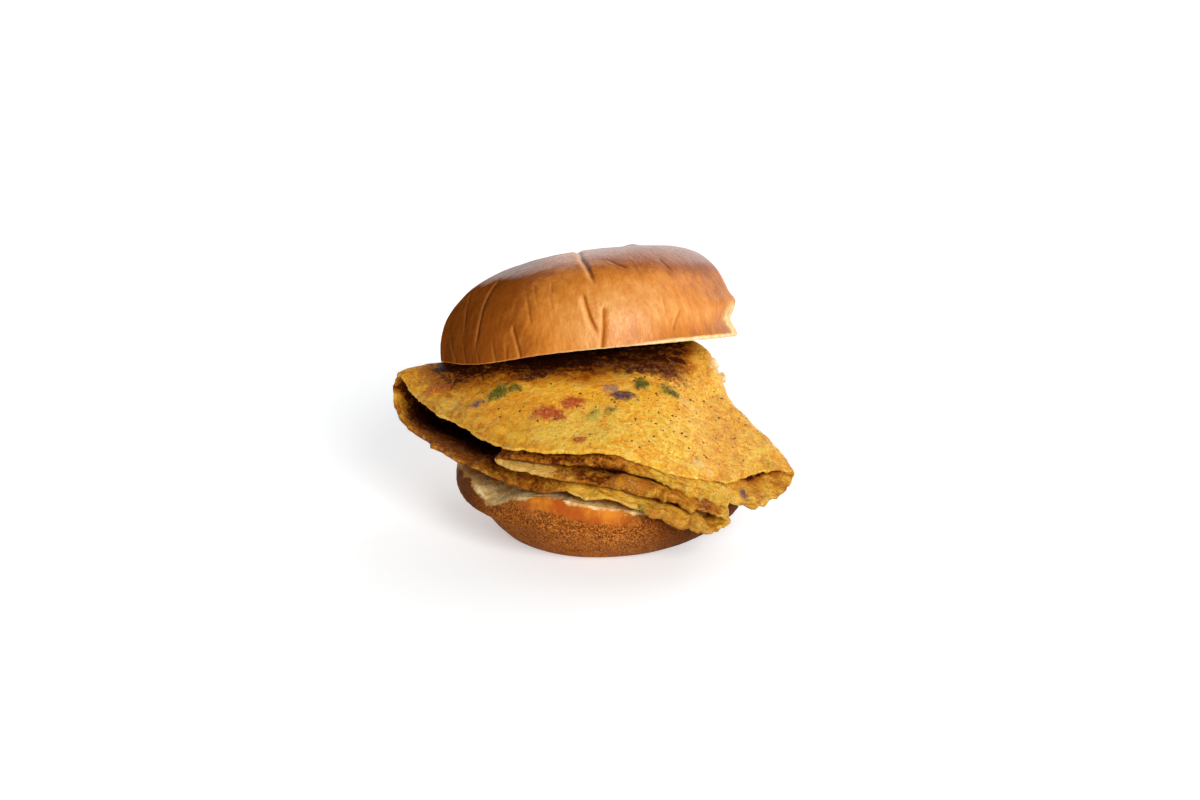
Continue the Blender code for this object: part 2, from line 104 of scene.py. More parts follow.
# Bun heel
HEEL_RADIUS = 52
HEEL_FOOT_RADIUS = 35
HEEL_WIDEST = 18
HEEL_FULLNESS = 1.7
HEEL_RIGHT_FULLNESS = 0.9
HEEL_STRETCH = 0.9
HEEL_LEAN = 0.8
HEEL_WAVE = 0.5
HEEL_TOP = 25.6
HEEL_RIDGE = -18
HEEL_FALL = 0.14
HEEL_FLARE = 5.4
FLARE_ANGLE = math.radians(208)
FLARE_SPREAD = math.radians(34)
FLARE_LOW = 11
FLARE_HIGH = 15
HEEL_SIDES = 600
HEEL_RIM_ROUND = 1.2
DIP_ANGLE = math.radians(219.5)
DIP_DEPTH = 5.2
DIP_START = 33
DIP_LEFT_SPREAD = math.radians(9)
DIP_RIGHT_SPREAD = math.radians(14)
CUT_WAVE = 0.35

# Omelette: one round sheet folded twice, so that four layers end at the front. Thickness at the rim,
# behind it and at the back, the slot between the middle layers, and the gap to the bun
SHEET_EDGE = 1.7
SHEET_FRONT = 2.8
SHEET_BACK = 3.2
SLOT_GAP = 0.7
REST_GAP = 0.45
# Ceiling of the folded layers: height, slope at the right, and how softly they meet it
TENT_TOP = 56.6
TENT_SLOPE = 0.05
TENT_BLEND = 4
# Back end of the sheet: middle (x, y), width and turn
APEX = (11, 57)
APEX_WIDTH = 20
APEX_TURN = 0.19
# Swelling behind the rim of a layer: rise in mm, place and length along the sheet, and where sideways
SWELLS = {4: (3.6, 0.1, 0.08, (-50, -40, 18, 34)), 2: (2.2, 0.07, 0.05, (4, 20, 44, 56))}
# How the sheet is kept off the bun: from where it may hang over the heel's rim, its fall there, and
# how far past the crown it stays low
RIM_CLEARANCE = 2.2
OVERHANG_FALL = 1.8
CROWN_MARGIN = 4
# Right edge of the upper fold: how far it bows in, and a notch with its place and length
FOLD_BOW = 1.2
FOLD_NOTCH = 5.8
NOTCH_AT = 0.31
NOTCH_LENGTH = 0.15
# Waves of the layers, and from where and how far they draw together towards the back end
SHEET_WAVE = 1.2
END_START = 0.84
END_ROUND = 0.4
# Shares of the sheet's length: where layers reach their inner height, and where the pockets end
TOP_REACH_LEFT = 0.2
TOP_REACH_RIGHT = 0.78
LOW_REACH = 0.5
POCKET_END = 0.26

# Ragged front edge of each layer, left to right, as (x, y, z) in mm
TOP_LAYER_EDGE = (
    (-66.3, -5, 50.8), (-58.3, -16, 48.1), (-47.4, -28, 46.1), (-34, -39.5, 43.3), (-21.6, -45.5, 43.8),
    (-8.1, -49.5, 44.3), (3, -51, 45.2), (16.5, -52, 41.1), (26.5, -51.5, 37.6), (34, -49, 35.2),
    (41.5, -43.5, 31.8), (49, -36.5, 30.6), (56.5, -29.5, 30.2), (63.2, -24, 28.8))
SECOND_LAYER_EDGE = (
    (-31.6, -40.5, 39.3), (-21.7, -45, 40), (-8.1, -49, 40.3), (3.7, -50.5, 39.8), (16.5, -51.5, 36.4),
    (27, -50.5, 31.1), (36.3, -47.5, 25.8), (46.5, -42.5, 22.3), (56.9, -33.5, 20.2), (64.2, -26, 22.7))
THIRD_LAYER_EDGE = (
    (-32.3, -41, 36.6), (-25.8, -45.5, 36.7), (-18.6, -48.5, 36.1), (-9.4, -51, 35.4), (0, -52.5, 34),
    (11.5, -53, 31.9), (21.6, -53, 29), (31.5, -51.5, 24.9), (39.4, -48.5, 22.2))
LOWEST_LAYER_EDGE = (
    (-71.7, -0.5, 42.6), (-68.2, -6.5, 38.8), (-61.6, -13, 36.2), (-55.3, -19, 34), (-48.5, -25, 32),
    (-39.9, -31.5, 29.9), (-30.1, -38.5, 28.3), (-19.4, -45.5, 28.3), (-12.2, -49.5, 30.6),
    (-5.4, -51.5, 28.2), (2.7, -53.3, 28.9), (13.5, -54, 25.2), (22, -54, 21.2), (30.5, -53, 18),
    (39.4, -50, 16.6))
OUTER_NOSE = ((-70.4, 1.8, 54.4), (-72.6, 3, 48))
INNER_NOSE = ((-35.3, -38, 37.6),)
UPPER_FOLD = ((67, -21.5, 25.6),)
LOWER_FOLD = ((43.5, -46.5, 18.6),)
# Browning of the layers, with painted shade on the layers lying below the top one, strongest on the second:
# number of the layer, then (x in mm, strength) from left to right
LAYER_BROWN_AND_SHADE = (
    (1, ((-80, 0.3), (-50, 0.28), (-25, 0.17), (-8, 0.02), (12, 0), (24, 0.08), (38, 0.2), (80, 0.3))),
    (1.5, ((-80, 0.75), (-70, 0.55), (-62, 0.3), (20, 0.2), (40, 0.15), (80, 0.45))),
    (2, ((-80, 1.05), (-5, 1.1), (8, 0.8), (20, 0.35), (30, 0.14), (44, 0.22), (52, 0.42), (80, 0.5))),
    (2.5, ((-80, 0.75), (80, 0.5))),
    (3, ((-36, 0), (-22, 0), (-14, 0.65), (2, 0.85), (8, 0.62), (24, 0.5), (34, 0.45), (80, 0.3))),
    (3.5, ((-80, 0.4), (30, 0.2), (80, 0.1))),
    (4, ((-80, 0.58), (-58, 0.6), (-48, 0.8), (-20, 0.75), (-13, 0.5), (-8, 0.12), (8, 0.15), (16, 0.35),
           (26, 0.5), (38, 0.3), (80, 0.15))))

# Colours of the vegetable and of browned egg; the deepest browns also serve as painted shadow under the crown
# and in the pockets
RED = (0.52, 0.085, 0.016)
GREEN = (0.1, 0.118, 0.008)
LIME = (0.42, 0.45, 0.07)
ONION = (0.13, 0.066, 0.082)
GREY = (0.25, 0.18, 0.035)
BROWN_AND_SHADOW = (0.16, 0.035, 0.008)
PALE = (0.8, 0.62, 0.3)
LILAC = (0.44, 0.27, 0.21)
YELLOW_AND_PAINTED_LIGHT = (1, 0.57, 0.12)
EMBER_AND_SHADOW = (0.26, 0.055, 0.01)
SCORCH_AND_SHADOW = (0.105, 0.017, 0.004)
RUST = (0.58, 0.18, 0.01)
# Stains of the top layer: colour, middle (x, y, z), length and width in mm, turn in degrees, strength
BITS = (
    (RED, (-17.4, -31.2, 50.5), 10.8, 6.8, -8, 1), (RED, (-9.3, -25.7, 53.2), 7.4, 5.4, 20, 0.95),
    (RED, (-56.6, -8.7, 52.3), 9, 3, 8, 0.8), (RED, (-6.8, -45.4, 46.2), 4.4, 2.8, 0, 0.95),
    (GREEN, (-35.2, -17.6, 54.3), 8.6, 5, 35, 1), (GREEN, (-29.7, -17.2, 55.3), 5, 4, 0, 0.9),
    (LIME, (-2, -33.1, 51.3), 4.2, 6, -20, 0.7), (GREY, (3.8, -30.8, 52.2), 4.2, 4.6, 0, 0.7),
    (GREEN, (14.9, -12.7, 56.7), 5.2, 6, 0, 1), (GREEN, (24, -13.3, 54.1), 7, 6.8, 0, 0.68),
    (GREEN, (26.1, -14.4, 53.6), 4.4, 3.8, 10, 1), (ONION, (8.2, -20.9, 55), 8, 5.4, -22, 1),
    (LILAC, (4.2, -16.9, 55.6), 5.4, 5, 0, 0.9), (ONION, (-42.5, -21.5, 50.2), 5.6, 3.6, 15, 0.95),
    # The deepest patches at the back, under the crown, are browned egg with painted shadow
    (SCORCH_AND_SHADOW, (-22.6, -9, 57.9), 13, 5.4, 20, 1), (BROWN_AND_SHADOW, (0.4, 1.8, 58.6), 4.5, 8, 0, 0.9),
    (SCORCH_AND_SHADOW, (16.5, -1.2, 58.1), 27, 9.5, 0, 1), (EMBER_AND_SHADOW, (24.6, -4.2, 56.5), 14, 6, 8, 0.8),
    (LIME, (58.7, -27.4, 32.6), 3, 3, 0, 0.35), (PALE, (41.3, 12.1, 53.9), 4.5, 6, 0, 0.8),
    (PALE, (33.9, -45.6, 33.8), 9, 5, 0, 0.4), (PALE, (31, -16, 51.5), 9, 2.6, -10, 0.5))
# Broad brighter and browner patches of the top layer, in the same form
CREAM = (1, 0.7, 0.12)
TAN = (0.82, 0.3, 0.012)
TINTS = (
    (CREAM, (-4, -37, 49.5), 32, 20, 0, 0.9), (CREAM, (20, -34, 46), 34, 18, -12, 0.35),
    (TAN, (-34, -26, 50), 26, 12, 25, 0.6), (TAN, (-14, -24, 52), 20, 9, 10, 0.55),
    (TAN, (2, -12, 56), 46, 8, 0, 0.5), (CREAM, (-50, -19, 49), 16, 7, -35, 0.5),
    (CREAM, (34, -8, 53), 12, 16, 0, 0.3), (TAN, (44, -26, 42), 16, 24, 20, 0.6),
    (CREAM, (50, -24, 38), 8, 12, 0, 0.5), (TAN, (12, -47, 44.5), 34, 5, -4, 0.5),
    (TAN, (37, -38, 37), 26, 14, -18, 0.55), (TAN, (24, -20, 51), 16, 9, 0, 0.4))
# Stains inside the pockets and on the lower layers, in the same form; the deep reddish patch in the left
# pocket is partly painted shade
INNER_BITS = (
    (EMBER_AND_SHADOW, (-54, -15, 36), 34, 16, -45, 0.85), (ONION, (49.2, -38.3, 24), 2.6, 3.2, 0, 0.9),
    (GREEN, (13.6, -54.2, 25), 2.8, 2.4, 0, 0.7))
LOWER_BITS = (
    # The first patch paints the left flap of the third layer paler, as painted light where it catches the
    # light
    (YELLOW_AND_PAINTED_LIGHT, (-27, -44, 36.8), 22, 10, -20, 1), (YELLOW_AND_PAINTED_LIGHT, (-6.5, -51.5, 29), 11, 8, 0, 0.6),
    (YELLOW_AND_PAINTED_LIGHT, (8, -53.5, 27), 14, 8, 0, 0.5), (RUST, (9.5, -54, 34.6), 12, 8, 0, 0.55),
    (RUST, (24, -52, 21.8), 10, 7, 0, 0.75), (RUST, (34, -50, 22), 9, 7, 0, 0.7),
    (RUST, (17.5, -53, 25), 7, 6, 0, 0.6), (RUST, (29.5, -48, 29), 9, 7, 0, 0.35),
    (RUST, (-16, -52, 34), 8, 7, 0, 0.5), (EMBER_AND_SHADOW, (36, -49, 26), 6, 8, 0, 0.75))
# How far a piece of vegetable stands out, and the count and corners of the specks of pepper
BIT_RISE = 0.6
PEPPER_SPECKS = 260
PEPPER_SIDES = 7
# Slope of the flaky lines along the open rims
FLAKE_TURN = math.radians(15)
# Pieces that stick out at the sheet's right side: middle and half sizes in mm
SIDE_BITS = (((40.3, 16, 53.4), (2.1, 2.6, 2)), ((43.6, 12, 49.6), (1.5, 2, 1.8)))

# Camera: turn down, distance in metres, lens in mm, and height of its aim in metres
CAMERA_ELEVATION = math.radians(20)
CAMERA_DISTANCE = 1
CAMERA_LENS = 85
CAMERA_AIM_HEIGHT = 0.0454


def smooth(low, high, value):
    """Smooth ramp from 0 at low to 1 at high, for numbers and arrays."""
    t = np.clip((value - low) / (high - low), 0, 1)
    return t * t * (3 - 2 * t)


def bell(value, width):
    """Smooth bump of height 1 at zero."""
    return np.exp(-(value / width) ** 2)


def between(low, full, fall, high, value):
    """1 from full to fall, and smoothly down to 0 at low and at high."""
    return smooth(low, full, value) * smooth(high, fall, value)


def flat(*parts):
    """Numbers of the parts, one after the other."""
    return np.concatenate([np.ravel(part) for part in parts])


def turn_between(a, b):
    """Signed turn from b to a."""
    return (a - b + math.pi) % (2 * math.pi) - math.pi


def uneven(points, size, shift=0):
    """Smooth unevenness between -1 and 1 at each point, for features of the given size."""
    places = np.asarray(points).reshape(-1, 3) / size + shift
    values = np.array([noise.noise(place) for place in places.tolist()])
    return values.reshape(np.asarray(points).shape[:-1])


def grid_normals(grid):
    """Unit normals of a grid of points that closes round its second direction."""
    along = np.gradient(grid, axis=0)
    across = np.roll(grid, -1, axis=1) - np.roll(grid, 1, axis=1)
    normals = np.cross(across, along)
    return normals / np.maximum(np.linalg.norm(normals, axis=2, keepdims=True), 1e-6)


def ring_faces(first, second, count):
    """Quads between two rings that hold the same count of points."""
    i = np.arange(count)
    j = (i + 1) % count
    return np.stack([first + i, first + j, second + j, second + i], axis=1).tolist()


def grid_faces(start, rows, count):
    """Quads of a grid that closes round, from the index of its first point."""
    faces = []
    for row in range(rows - 1):
        faces.extend(ring_faces(start + row * count, start + (row + 1) * count, count))
    return faces


def closed_rings(rings, low, top):
    """Points and faces of rings of points that close to one point at each end."""
    rings = np.array(rings)
    rows, count = rings.shape[:2]
    points = np.concatenate([rings.reshape(-1, 3), [low, top]])
    faces = grid_faces(0, rows, count)
    end = rows * count
    for i in range(count):
        j = (i + 1) % count
        faces.append((end, j, i))
        faces.append((end - count + i, end - count + j, end + 1))
    return points, faces


def ring_at(angles, radius, height):
    """Ring of points round the axis."""
    return np.stack([radius * np.cos(angles), radius * np.sin(angles), height + 0 * angles], axis=-1)


def new_object(name, data):
    """Object with the given data, put into the scene."""
    thing = bpy.data.objects.new(name, data)
    bpy.context.scene.collection.objects.link(thing)
    return thing


def finish_piece(name, points, faces, fields, material, node):
    """Mesh object with point fields for its material, attached to the root body, hiding the CAD part that it
    stands for, if any.
    """
    mesh = bpy.data.meshes.new(name)
    mesh.from_pydata((np.asarray(points) * MM).tolist(), [], faces)
    work = bmesh.new()
    work.from_mesh(mesh)
    bmesh.ops.recalc_face_normals(work, faces=work.faces)
    work.to_mesh(mesh)
    work.free()
    for field, values in fields.items():
        values = np.asarray(values, dtype=np.float32)
        kind, part = ("FLOAT", "value") if values.ndim == 1 else ("FLOAT_COLOR", "color")
        mesh.attributes.new(field, kind, "POINT").data.foreach_set(part, values.ravel())
    mesh.shade_smooth()
    mesh.materials.append(material)
    piece = new_object(name, mesh)
    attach(piece, "root")
    if node:
        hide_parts(node)


class Nodes:
    """Short helper that wires a tree of shader nodes."""

    def __init__(self, tree, shader):
        self.tree = tree
        self.shader = tree.nodes[shader]

    def link(self, source, target):
        """Join an output to an input, or set a plain value."""
        if isinstance(source, bpy.types.NodeSocket):
            self.tree.links.new(source, target)
        elif target.type == "RGBA":
            target.default_value = (*source, 1)
        else:
            target.default_value = source

    def put(self, node=None, **inputs):
        """Join or set inputs of a node or of the surface shader; a low line in a name stands for a space."""
        for name, source in inputs.items():
            self.link(source, (node or self.shader).inputs[name.replace("_", " ")])

    def soften(self, weight, radius, scale):
        """Light that goes into the surface: how much, how far each colour goes, and the length in metres."""
        self.put(Subsurface_Weight=weight, Subsurface_Radius=radius, Subsurface_Scale=scale)

    def node(self, kind, **inputs):
        """New node with its inputs joined or set."""
        node = self.tree.nodes.new("ShaderNode" + kind)
        self.put(node, **inputs)
        return node

    def place(self, kind="Object"):
        """Place of the point that is coloured."""
        return self.node("TexCoord").outputs[kind]

    def field(self, name, output="Fac"):
        """Point field written on the mesh."""
        node = self.node("Attribute")
        node.attribute_name = name
        return node.outputs[output]

    def noise(self, scale, detail=3, rough=0.55, place=None, distortion=0):
        """Noise texture, its value between 0 and 1."""
        return self.node("TexNoise", Vector=place or self.place(), Scale=scale, Detail=detail,
                         Roughness=rough, Distortion=distortion).outputs["Fac"]

    def cells(self, scale):
        """Distance to the nearest cell middle."""
        return self.node("TexVoronoi", Vector=self.place(), Scale=scale).outputs["Distance"]

    def stretch(self, scale, turn=0):
        """Object place stretched along its axes and turned about the second one."""
        size = tuple(1 / part for part in scale) if turn else scale
        node = self.node("Mapping", Vector=self.place(), Rotation=(0, turn, 0), Scale=size)
        node.vector_type = "TEXTURE" if turn else "POINT"
        return node.outputs["Vector"]

    def ramp(self, value, low, high, start=0, end=1):
        """Value mapped smoothly from low..high to start..end and clamped."""
        node = self.node("MapRange", Value=value, From_Min=low, From_Max=high, To_Min=start, To_Max=end)
        node.interpolation_type = "SMOOTHSTEP"
        return node.outputs["Result"]

    def math(self, kind, values):
        """Sum, product or other maths of two or more values."""
        total = values[0]
        for value in values[1:]:
            node = self.node("Math")
            node.operation = kind
            self.link(total, node.inputs[0])
            self.link(value, node.inputs[1])
            total = node.outputs[0]
        return total

    def plus(self, *values):
        """Sum of values."""
        return self.math("ADD", values)

    def times(self, *values):
        """Product of values."""
        return self.math("MULTIPLY", values)

    def most(self, *values):
        """Largest of values."""
        return self.math("MAXIMUM", values)

    def mix(self, share, a, b):
        """Colour mixed from a to b by a share."""
        node = self.node("Mix")
        node.data_type = "RGBA"
        for k, source in ((0, share), (6, a), (7, b)):
            self.link(source, node.inputs[k])
        return node.outputs[2]

    def bumps(self, *layers):
        """Bumps laid over one another, each as (height, distance in metres, strength)."""
        below = None
        for height, distance, strength in layers:
            node = self.node("Bump", Height=height, Distance=distance, Strength=strength)
            if below:
                self.put(node, Normal=below)
            below = node.outputs["Normal"]
        self.put(Normal=below)


def new_material(name):
    """Node helper of a new material, and the material."""
    material = bpy.data.materials.new(name)
    material.use_nodes = True
    return Nodes(material.node_tree, "Principled BSDF"), material


def crust_material():
    """Baked crust of the crown: golden, darker at the left and in the folds as painted shade, glossy on top,
    pale where it tore.
    """
    n, material = new_material("crown_crust")
    crumb = n.field("crumb")
    patch = n.noise(150, 4, 0.6)
    fine = n.noise(700, 4, 0.65)
    streak = n.noise(1, 4, 0.6, n.stretch((300, 300, 55)))
    grain = n.noise(1, 3, 0.6, n.stretch((1100, 1100, 420)), 0.4)
    level = n.plus(n.field("toast_and_shading"), n.ramp(n.noise(32), 0.3, 0.7, -0.11, 0.11),
                   n.ramp(patch, 0.35, 0.65, -0.03, 0.03), n.ramp(streak, 0.3, 0.7, -0.1, 0.1),
                   n.ramp(grain, 0.35, 0.65, 0.04, -0.05))
    colour = n.mix(n.ramp(level, -0.1, 0.55), (0.78, 0.4, 0.115), (0.56, 0.185, 0.022))
    colour = n.mix(n.ramp(level, 0.4, 0.95), colour, (0.27, 0.068, 0.007))
    colour = n.mix(n.ramp(level, 0.9, 1.5), colour, (0.12, 0.026, 0.003))
    pale = n.mix(n.ramp(fine, 0.3, 0.7), (0.66, 0.4, 0.14), (0.84, 0.66, 0.36))
    rough = n.plus(n.ramp(grain, 0.3, 0.7, 0.44, 0.3), n.times(crumb, 0.4))
    n.put(Base_Color=n.mix(crumb, colour, pale), Roughness=rough, Specular_IOR_Level=n.field("gloss"))
    n.bumps((streak, 0.0005, 0.6), (patch, 0.0005, 0.35), (fine, 0.0002, 0.5), (grain, 0.0002, 0.8))
    n.soften(0.06, (1, 0.4, 0.15), 0.0025)
    return material


def heel_material():
    """Porous base crust, glossier orange band above it, grey and cream crumb on the cut face, with painted
    shade in the pits and holes and at the sides.
    """
    n, material = new_material("heel_crust")
    band = n.field("band")
    crumb = n.field("crumb")
    maze = n.noise(1600, 2, 0.5, distortion=0.3)
    holes = n.most(n.ramp(maze, 0.52, 0.42), n.ramp(n.cells(1250), 0.42, 0.2))
    holes = n.times(holes, n.ramp(n.noise(420, 2), 0.3, 0.6, 0.55, 1))
    tiny = n.times(n.ramp(n.cells(1600), 0.42, 0.12), 0.7)
    pit = n.most(holes, tiny)
    porous = n.mix(n.ramp(n.noise(60), 0.3, 0.7), (0.52, 0.155, 0.022), (0.62, 0.21, 0.036))
    porous = n.mix(n.ramp(n.noise(260), 0.45, 0.75, 0, 0.6), porous, (0.4, 0.1, 0.013))
    # Painted shade: the pits of the crust are coloured darker
    porous = n.mix(pit, porous, (0.16, 0.036, 0.005))
    # Painted shade at the heel's left and right sides
    porous = n.mix(n.times(n.field("painted_shade"), 0.9), porous, (0.085, 0.019, 0.003))
    glaze = n.noise(1, 5, 0.6, n.stretch((190, 190, 130)))
    orange = n.mix(n.ramp(glaze, 0.36, 0.64), (0.4, 0.076, 0.003), (0.62, 0.2, 0.012))
    inside = n.mix(n.ramp(n.noise(330, 5, 0.65), 0.4, 0.62), (0.78, 0.46, 0.15), (0.98, 0.76, 0.37))
    inside = n.mix(n.ramp(n.noise(110), 0.52, 0.68, 0, 0.8), inside, (0.52, 0.41, 0.25))
    # Painted shade: the small holes of the crumb are coloured darker
    inside = n.mix(n.times(tiny, 0.8), inside, (0.28, 0.16, 0.06))
    rough = n.plus(0.75, n.times(band, -0.37), n.times(crumb, 0.15))
    n.put(Base_Color=n.mix(crumb, n.mix(band, porous, orange), inside), Roughness=rough,
          Specular_IOR_Level=n.plus(n.times(band, 0.12), 0.03))
    depth = n.times(pit, n.plus(-1, n.times(band, 0.9)))
    n.bumps((depth, 0.0005, 0.9), (n.times(glaze, band), 0.0006, 0.6),
            (n.noise(900, 4, 0.65), 0.00035, 0.7))
    n.soften(0.05, (1, 0.4, 0.15), 0.002)
    return material


def egg_material():
    """Cooked egg: yellow and orange mottling, stains of vegetable, browned folds, and painted shade under the
    crown, in the pockets and on the lower layers.
    """
    n, material = new_material("omelette_egg")
    brown_and_shade = n.field("brown_and_shade")
    flaky = n.field("flaky")
    grain = n.field("grain")
    stain = n.field("stain", "Color")
    stained = n.field("stain", "Alpha")
    patch = n.noise(230, 5, 0.7, distortion=0.4)
    fleck = n.noise(700, 4, 0.7, distortion=0.3)
    fine = n.noise(1700, 3, 0.65)
    curd = n.noise(170, 6, 0.72, n.stretch((0.8, 1, 1.2)), 0.3)
    strata = n.noise(1, 5, 0.7, n.stretch((110, 160, 1150), FLAKE_TURN), 0.2)
    colour = n.mix(n.ramp(n.noise(75, 4, 0.6), 0.38, 0.62), (1, 0.6, 0.04), (0.97, 0.5, 0.03))
    tinted = n.times(n.field("tint", "Alpha"), n.ramp(curd, 0.35, 0.6, 0.55, 1))
    colour = n.mix(tinted, colour, n.field("tint", "Color"))
    # Mottling, from broad to fine: texture, where it starts and is full, strength, where, and colour
    for value, low, high, strength, where, tone in (
            (patch, 0.5, 0.64, 0.66, None, (0.88, 0.33, 0.012)),
            (curd, 0.53, 0.64, 0.7, None, (1, 0.68, 0.13)),
            (fleck, 0.55, 0.62, 0.8, None, (1, 0.75, 0.17)),
            (fleck, 0.44, 0.36, 0.7, None, (0.72, 0.24, 0.01)),
            (fine, 0.4, 0.32, 0.6, None, (0.4, 0.1, 0.006)),
            (fleck, 0.52, 0.42, 0.65, grain, (0.66, 0.2, 0.008)),
            (fine, 0.54, 0.64, 0.8, grain, (1, 0.8, 0.22)),
            (strata, 0.47, 0.36, 0.8, flaky, (1, 0.64, 0.14)),
            (strata, 0.54, 0.66, 0.8, flaky, (0.46, 0.105, 0.006))):
        share = n.ramp(value, low, high, 0, strength)
        colour = n.mix(n.times(share, where) if where else share, colour, tone)
    # Browning, together with the painted shade that the same field carries under the crown, in the pockets
    # and on the lower layers
    toast_and_shading = n.plus(brown_and_shade, n.times(brown_and_shade, n.ramp(patch, 0.3, 0.7, -0.5, 0.5)),
                   n.times(brown_and_shade, n.ramp(fleck, 0.3, 0.7, -0.45, 0.45)))
    colour = n.mix(n.ramp(toast_and_shading, 0.05, 0.6, 0, 0.85), colour, (0.41, 0.098, 0.005))
    # Near black where the field is highest: scorched egg together with painted deep shade
    burnt_and_shade = n.mix(flaky, (0.05, 0.006, 0.002), (0.105, 0.016, 0.002))
    colour = n.mix(n.ramp(toast_and_shading, 0.55, 1.15, 0, 0.97), colour, burnt_and_shade)
    soft = n.plus(stained, n.ramp(fleck, 0.3, 0.7, -0.3, 0.3), n.ramp(patch, 0.35, 0.65, -0.2, 0.2))
    share = n.times(n.ramp(soft, 0.2, 0.85), n.ramp(stained, 0, 0.25))
    share = n.most(share, n.ramp(stained, 0, 0.6, 0, 0.4))
    # Paler flecks on the vegetable pieces, as painted highlights, then darker specks on them
    flesh = n.mix(n.ramp(fleck, 0.5, 0.62, 0, 0.35), stain, (1, 0.62, 0.2))
    flesh = n.mix(n.ramp(fine, 0.48, 0.36, 0, 0.5), flesh, n.mix(0.7, stain, (0.03, 0.01, 0.003)))
    n.put(Base_Color=n.mix(share, colour, flesh), Roughness=n.ramp(fine, 0.3, 0.7, 0.36, 0.55),
          Specular_IOR_Level=n.ramp(brown_and_shade, 0.05, 0.5, 0.24, 0.05))
    n.bumps((patch, 0.0012, 0.8), (curd, 0.0014, 0.8), (fleck, 0.0011, 0.9),
            (n.times(strata, flaky, -1), 0.0016, 0.9), (fine, 0.0004, 0.9))
    n.soften(0.12, (1, 0.5, 0.12), 0.002)
    return material


def pepper_material():
    """Ground black pepper."""
    n, material = new_material("ground_pepper")
    tone = n.noise(900, 2)
    n.put(Base_Color=n.mix(n.ramp(tone, 0.3, 0.7), (0.025, 0.014, 0.008), (0.1, 0.05, 0.02)), Roughness=0.65)
    n.bumps((tone, 0.0001, 0.6))
    return material


def crown_power(angle):
    """Squareness of the crown's side: softly round at the left, upright at the right."""
    side = 0.5 + 0.5 * np.cos(angle)
    return CROWN_LEFT_POWER + (CROWN_RIGHT_POWER - CROWN_LEFT_POWER) * side ** CROWN_POWER_BLEND


def crown_plain(angle, climb):
    """Crown surface without relief, for arrays of angles and climbs."""
    reach = CROWN_RADIUS + CROWN_STRETCH * np.cos(angle)
    radius = reach * np.cos(climb) ** (2 / crown_power(angle))
    height = CROWN_HEIGHT * np.sin(climb) ** (2 / CROWN_DOME_POWER)
    height = height * (1 + CROWN_RIGHT_RISE * np.cos(angle) * radius / CROWN_RADIUS)
    return np.stack([radius * np.cos(angle), radius * np.sin(angle), height], axis=-1)


def crown_front(x, height):
    """Point of the crown's open side at a sideways place and a height, both in mm."""
    climb = math.asin(min(1, height / CROWN_HEIGHT) ** (CROWN_DOME_POWER / 2))
    angle = -math.pi / 2
    for _ in range(6):
        reach = CROWN_RADIUS * math.cos(climb) ** (2 / crown_power(angle))
        angle = -math.acos(max(-1, min(1, x / max(reach, 1))))
    return crown_plain(np.array(angle), np.array(climb))


def path_gap(points, path):
    """Signed distance from each point to a path, positive at its left, and the share along it."""
    best = np.full(points.shape[:-1], 1000.0)
    signed = best.copy()
    share = np.zeros(points.shape[:-1])
    outward = points - np.array((0, 0, 8))
    for k, (a, b) in enumerate(zip(path, path[1:])):
        along = b - a
        t = np.clip(((points - a) @ along) / (along @ along), 0, 1)
        away = points - a - t[..., None] * along
        gap = np.linalg.norm(away, axis=-1)
        side = np.sum(away * np.cross(along, outward), axis=-1)
        nearer = gap < best
        signed = np.where(nearer, np.where(side > 0, gap, -gap), signed)
        share = np.where(nearer, (k + t) / (len(path) - 1), share)
        best = np.minimum(best, gap)
    return signed, share


def crown_droop(place):
    """How far the crown's cut face hangs below its plane at places in the crown's own frame."""
    turn = turn_between(np.arctan2(place[..., 1], place[..., 0]), DROOP_ANGLE)
    outward = smooth(DROOP_START, CROWN_RADIUS, np.hypot(place[..., 0], place[..., 1]))
    return DROOP_DEPTH * bell(turn, DROOP_SPREAD) * outward


def grooves(points, depth, narrow):
    """Thin branching grooves where a smooth unevenness passes through zero."""
    return -depth * smooth(narrow, 0, np.abs(uneven(points, 1)))


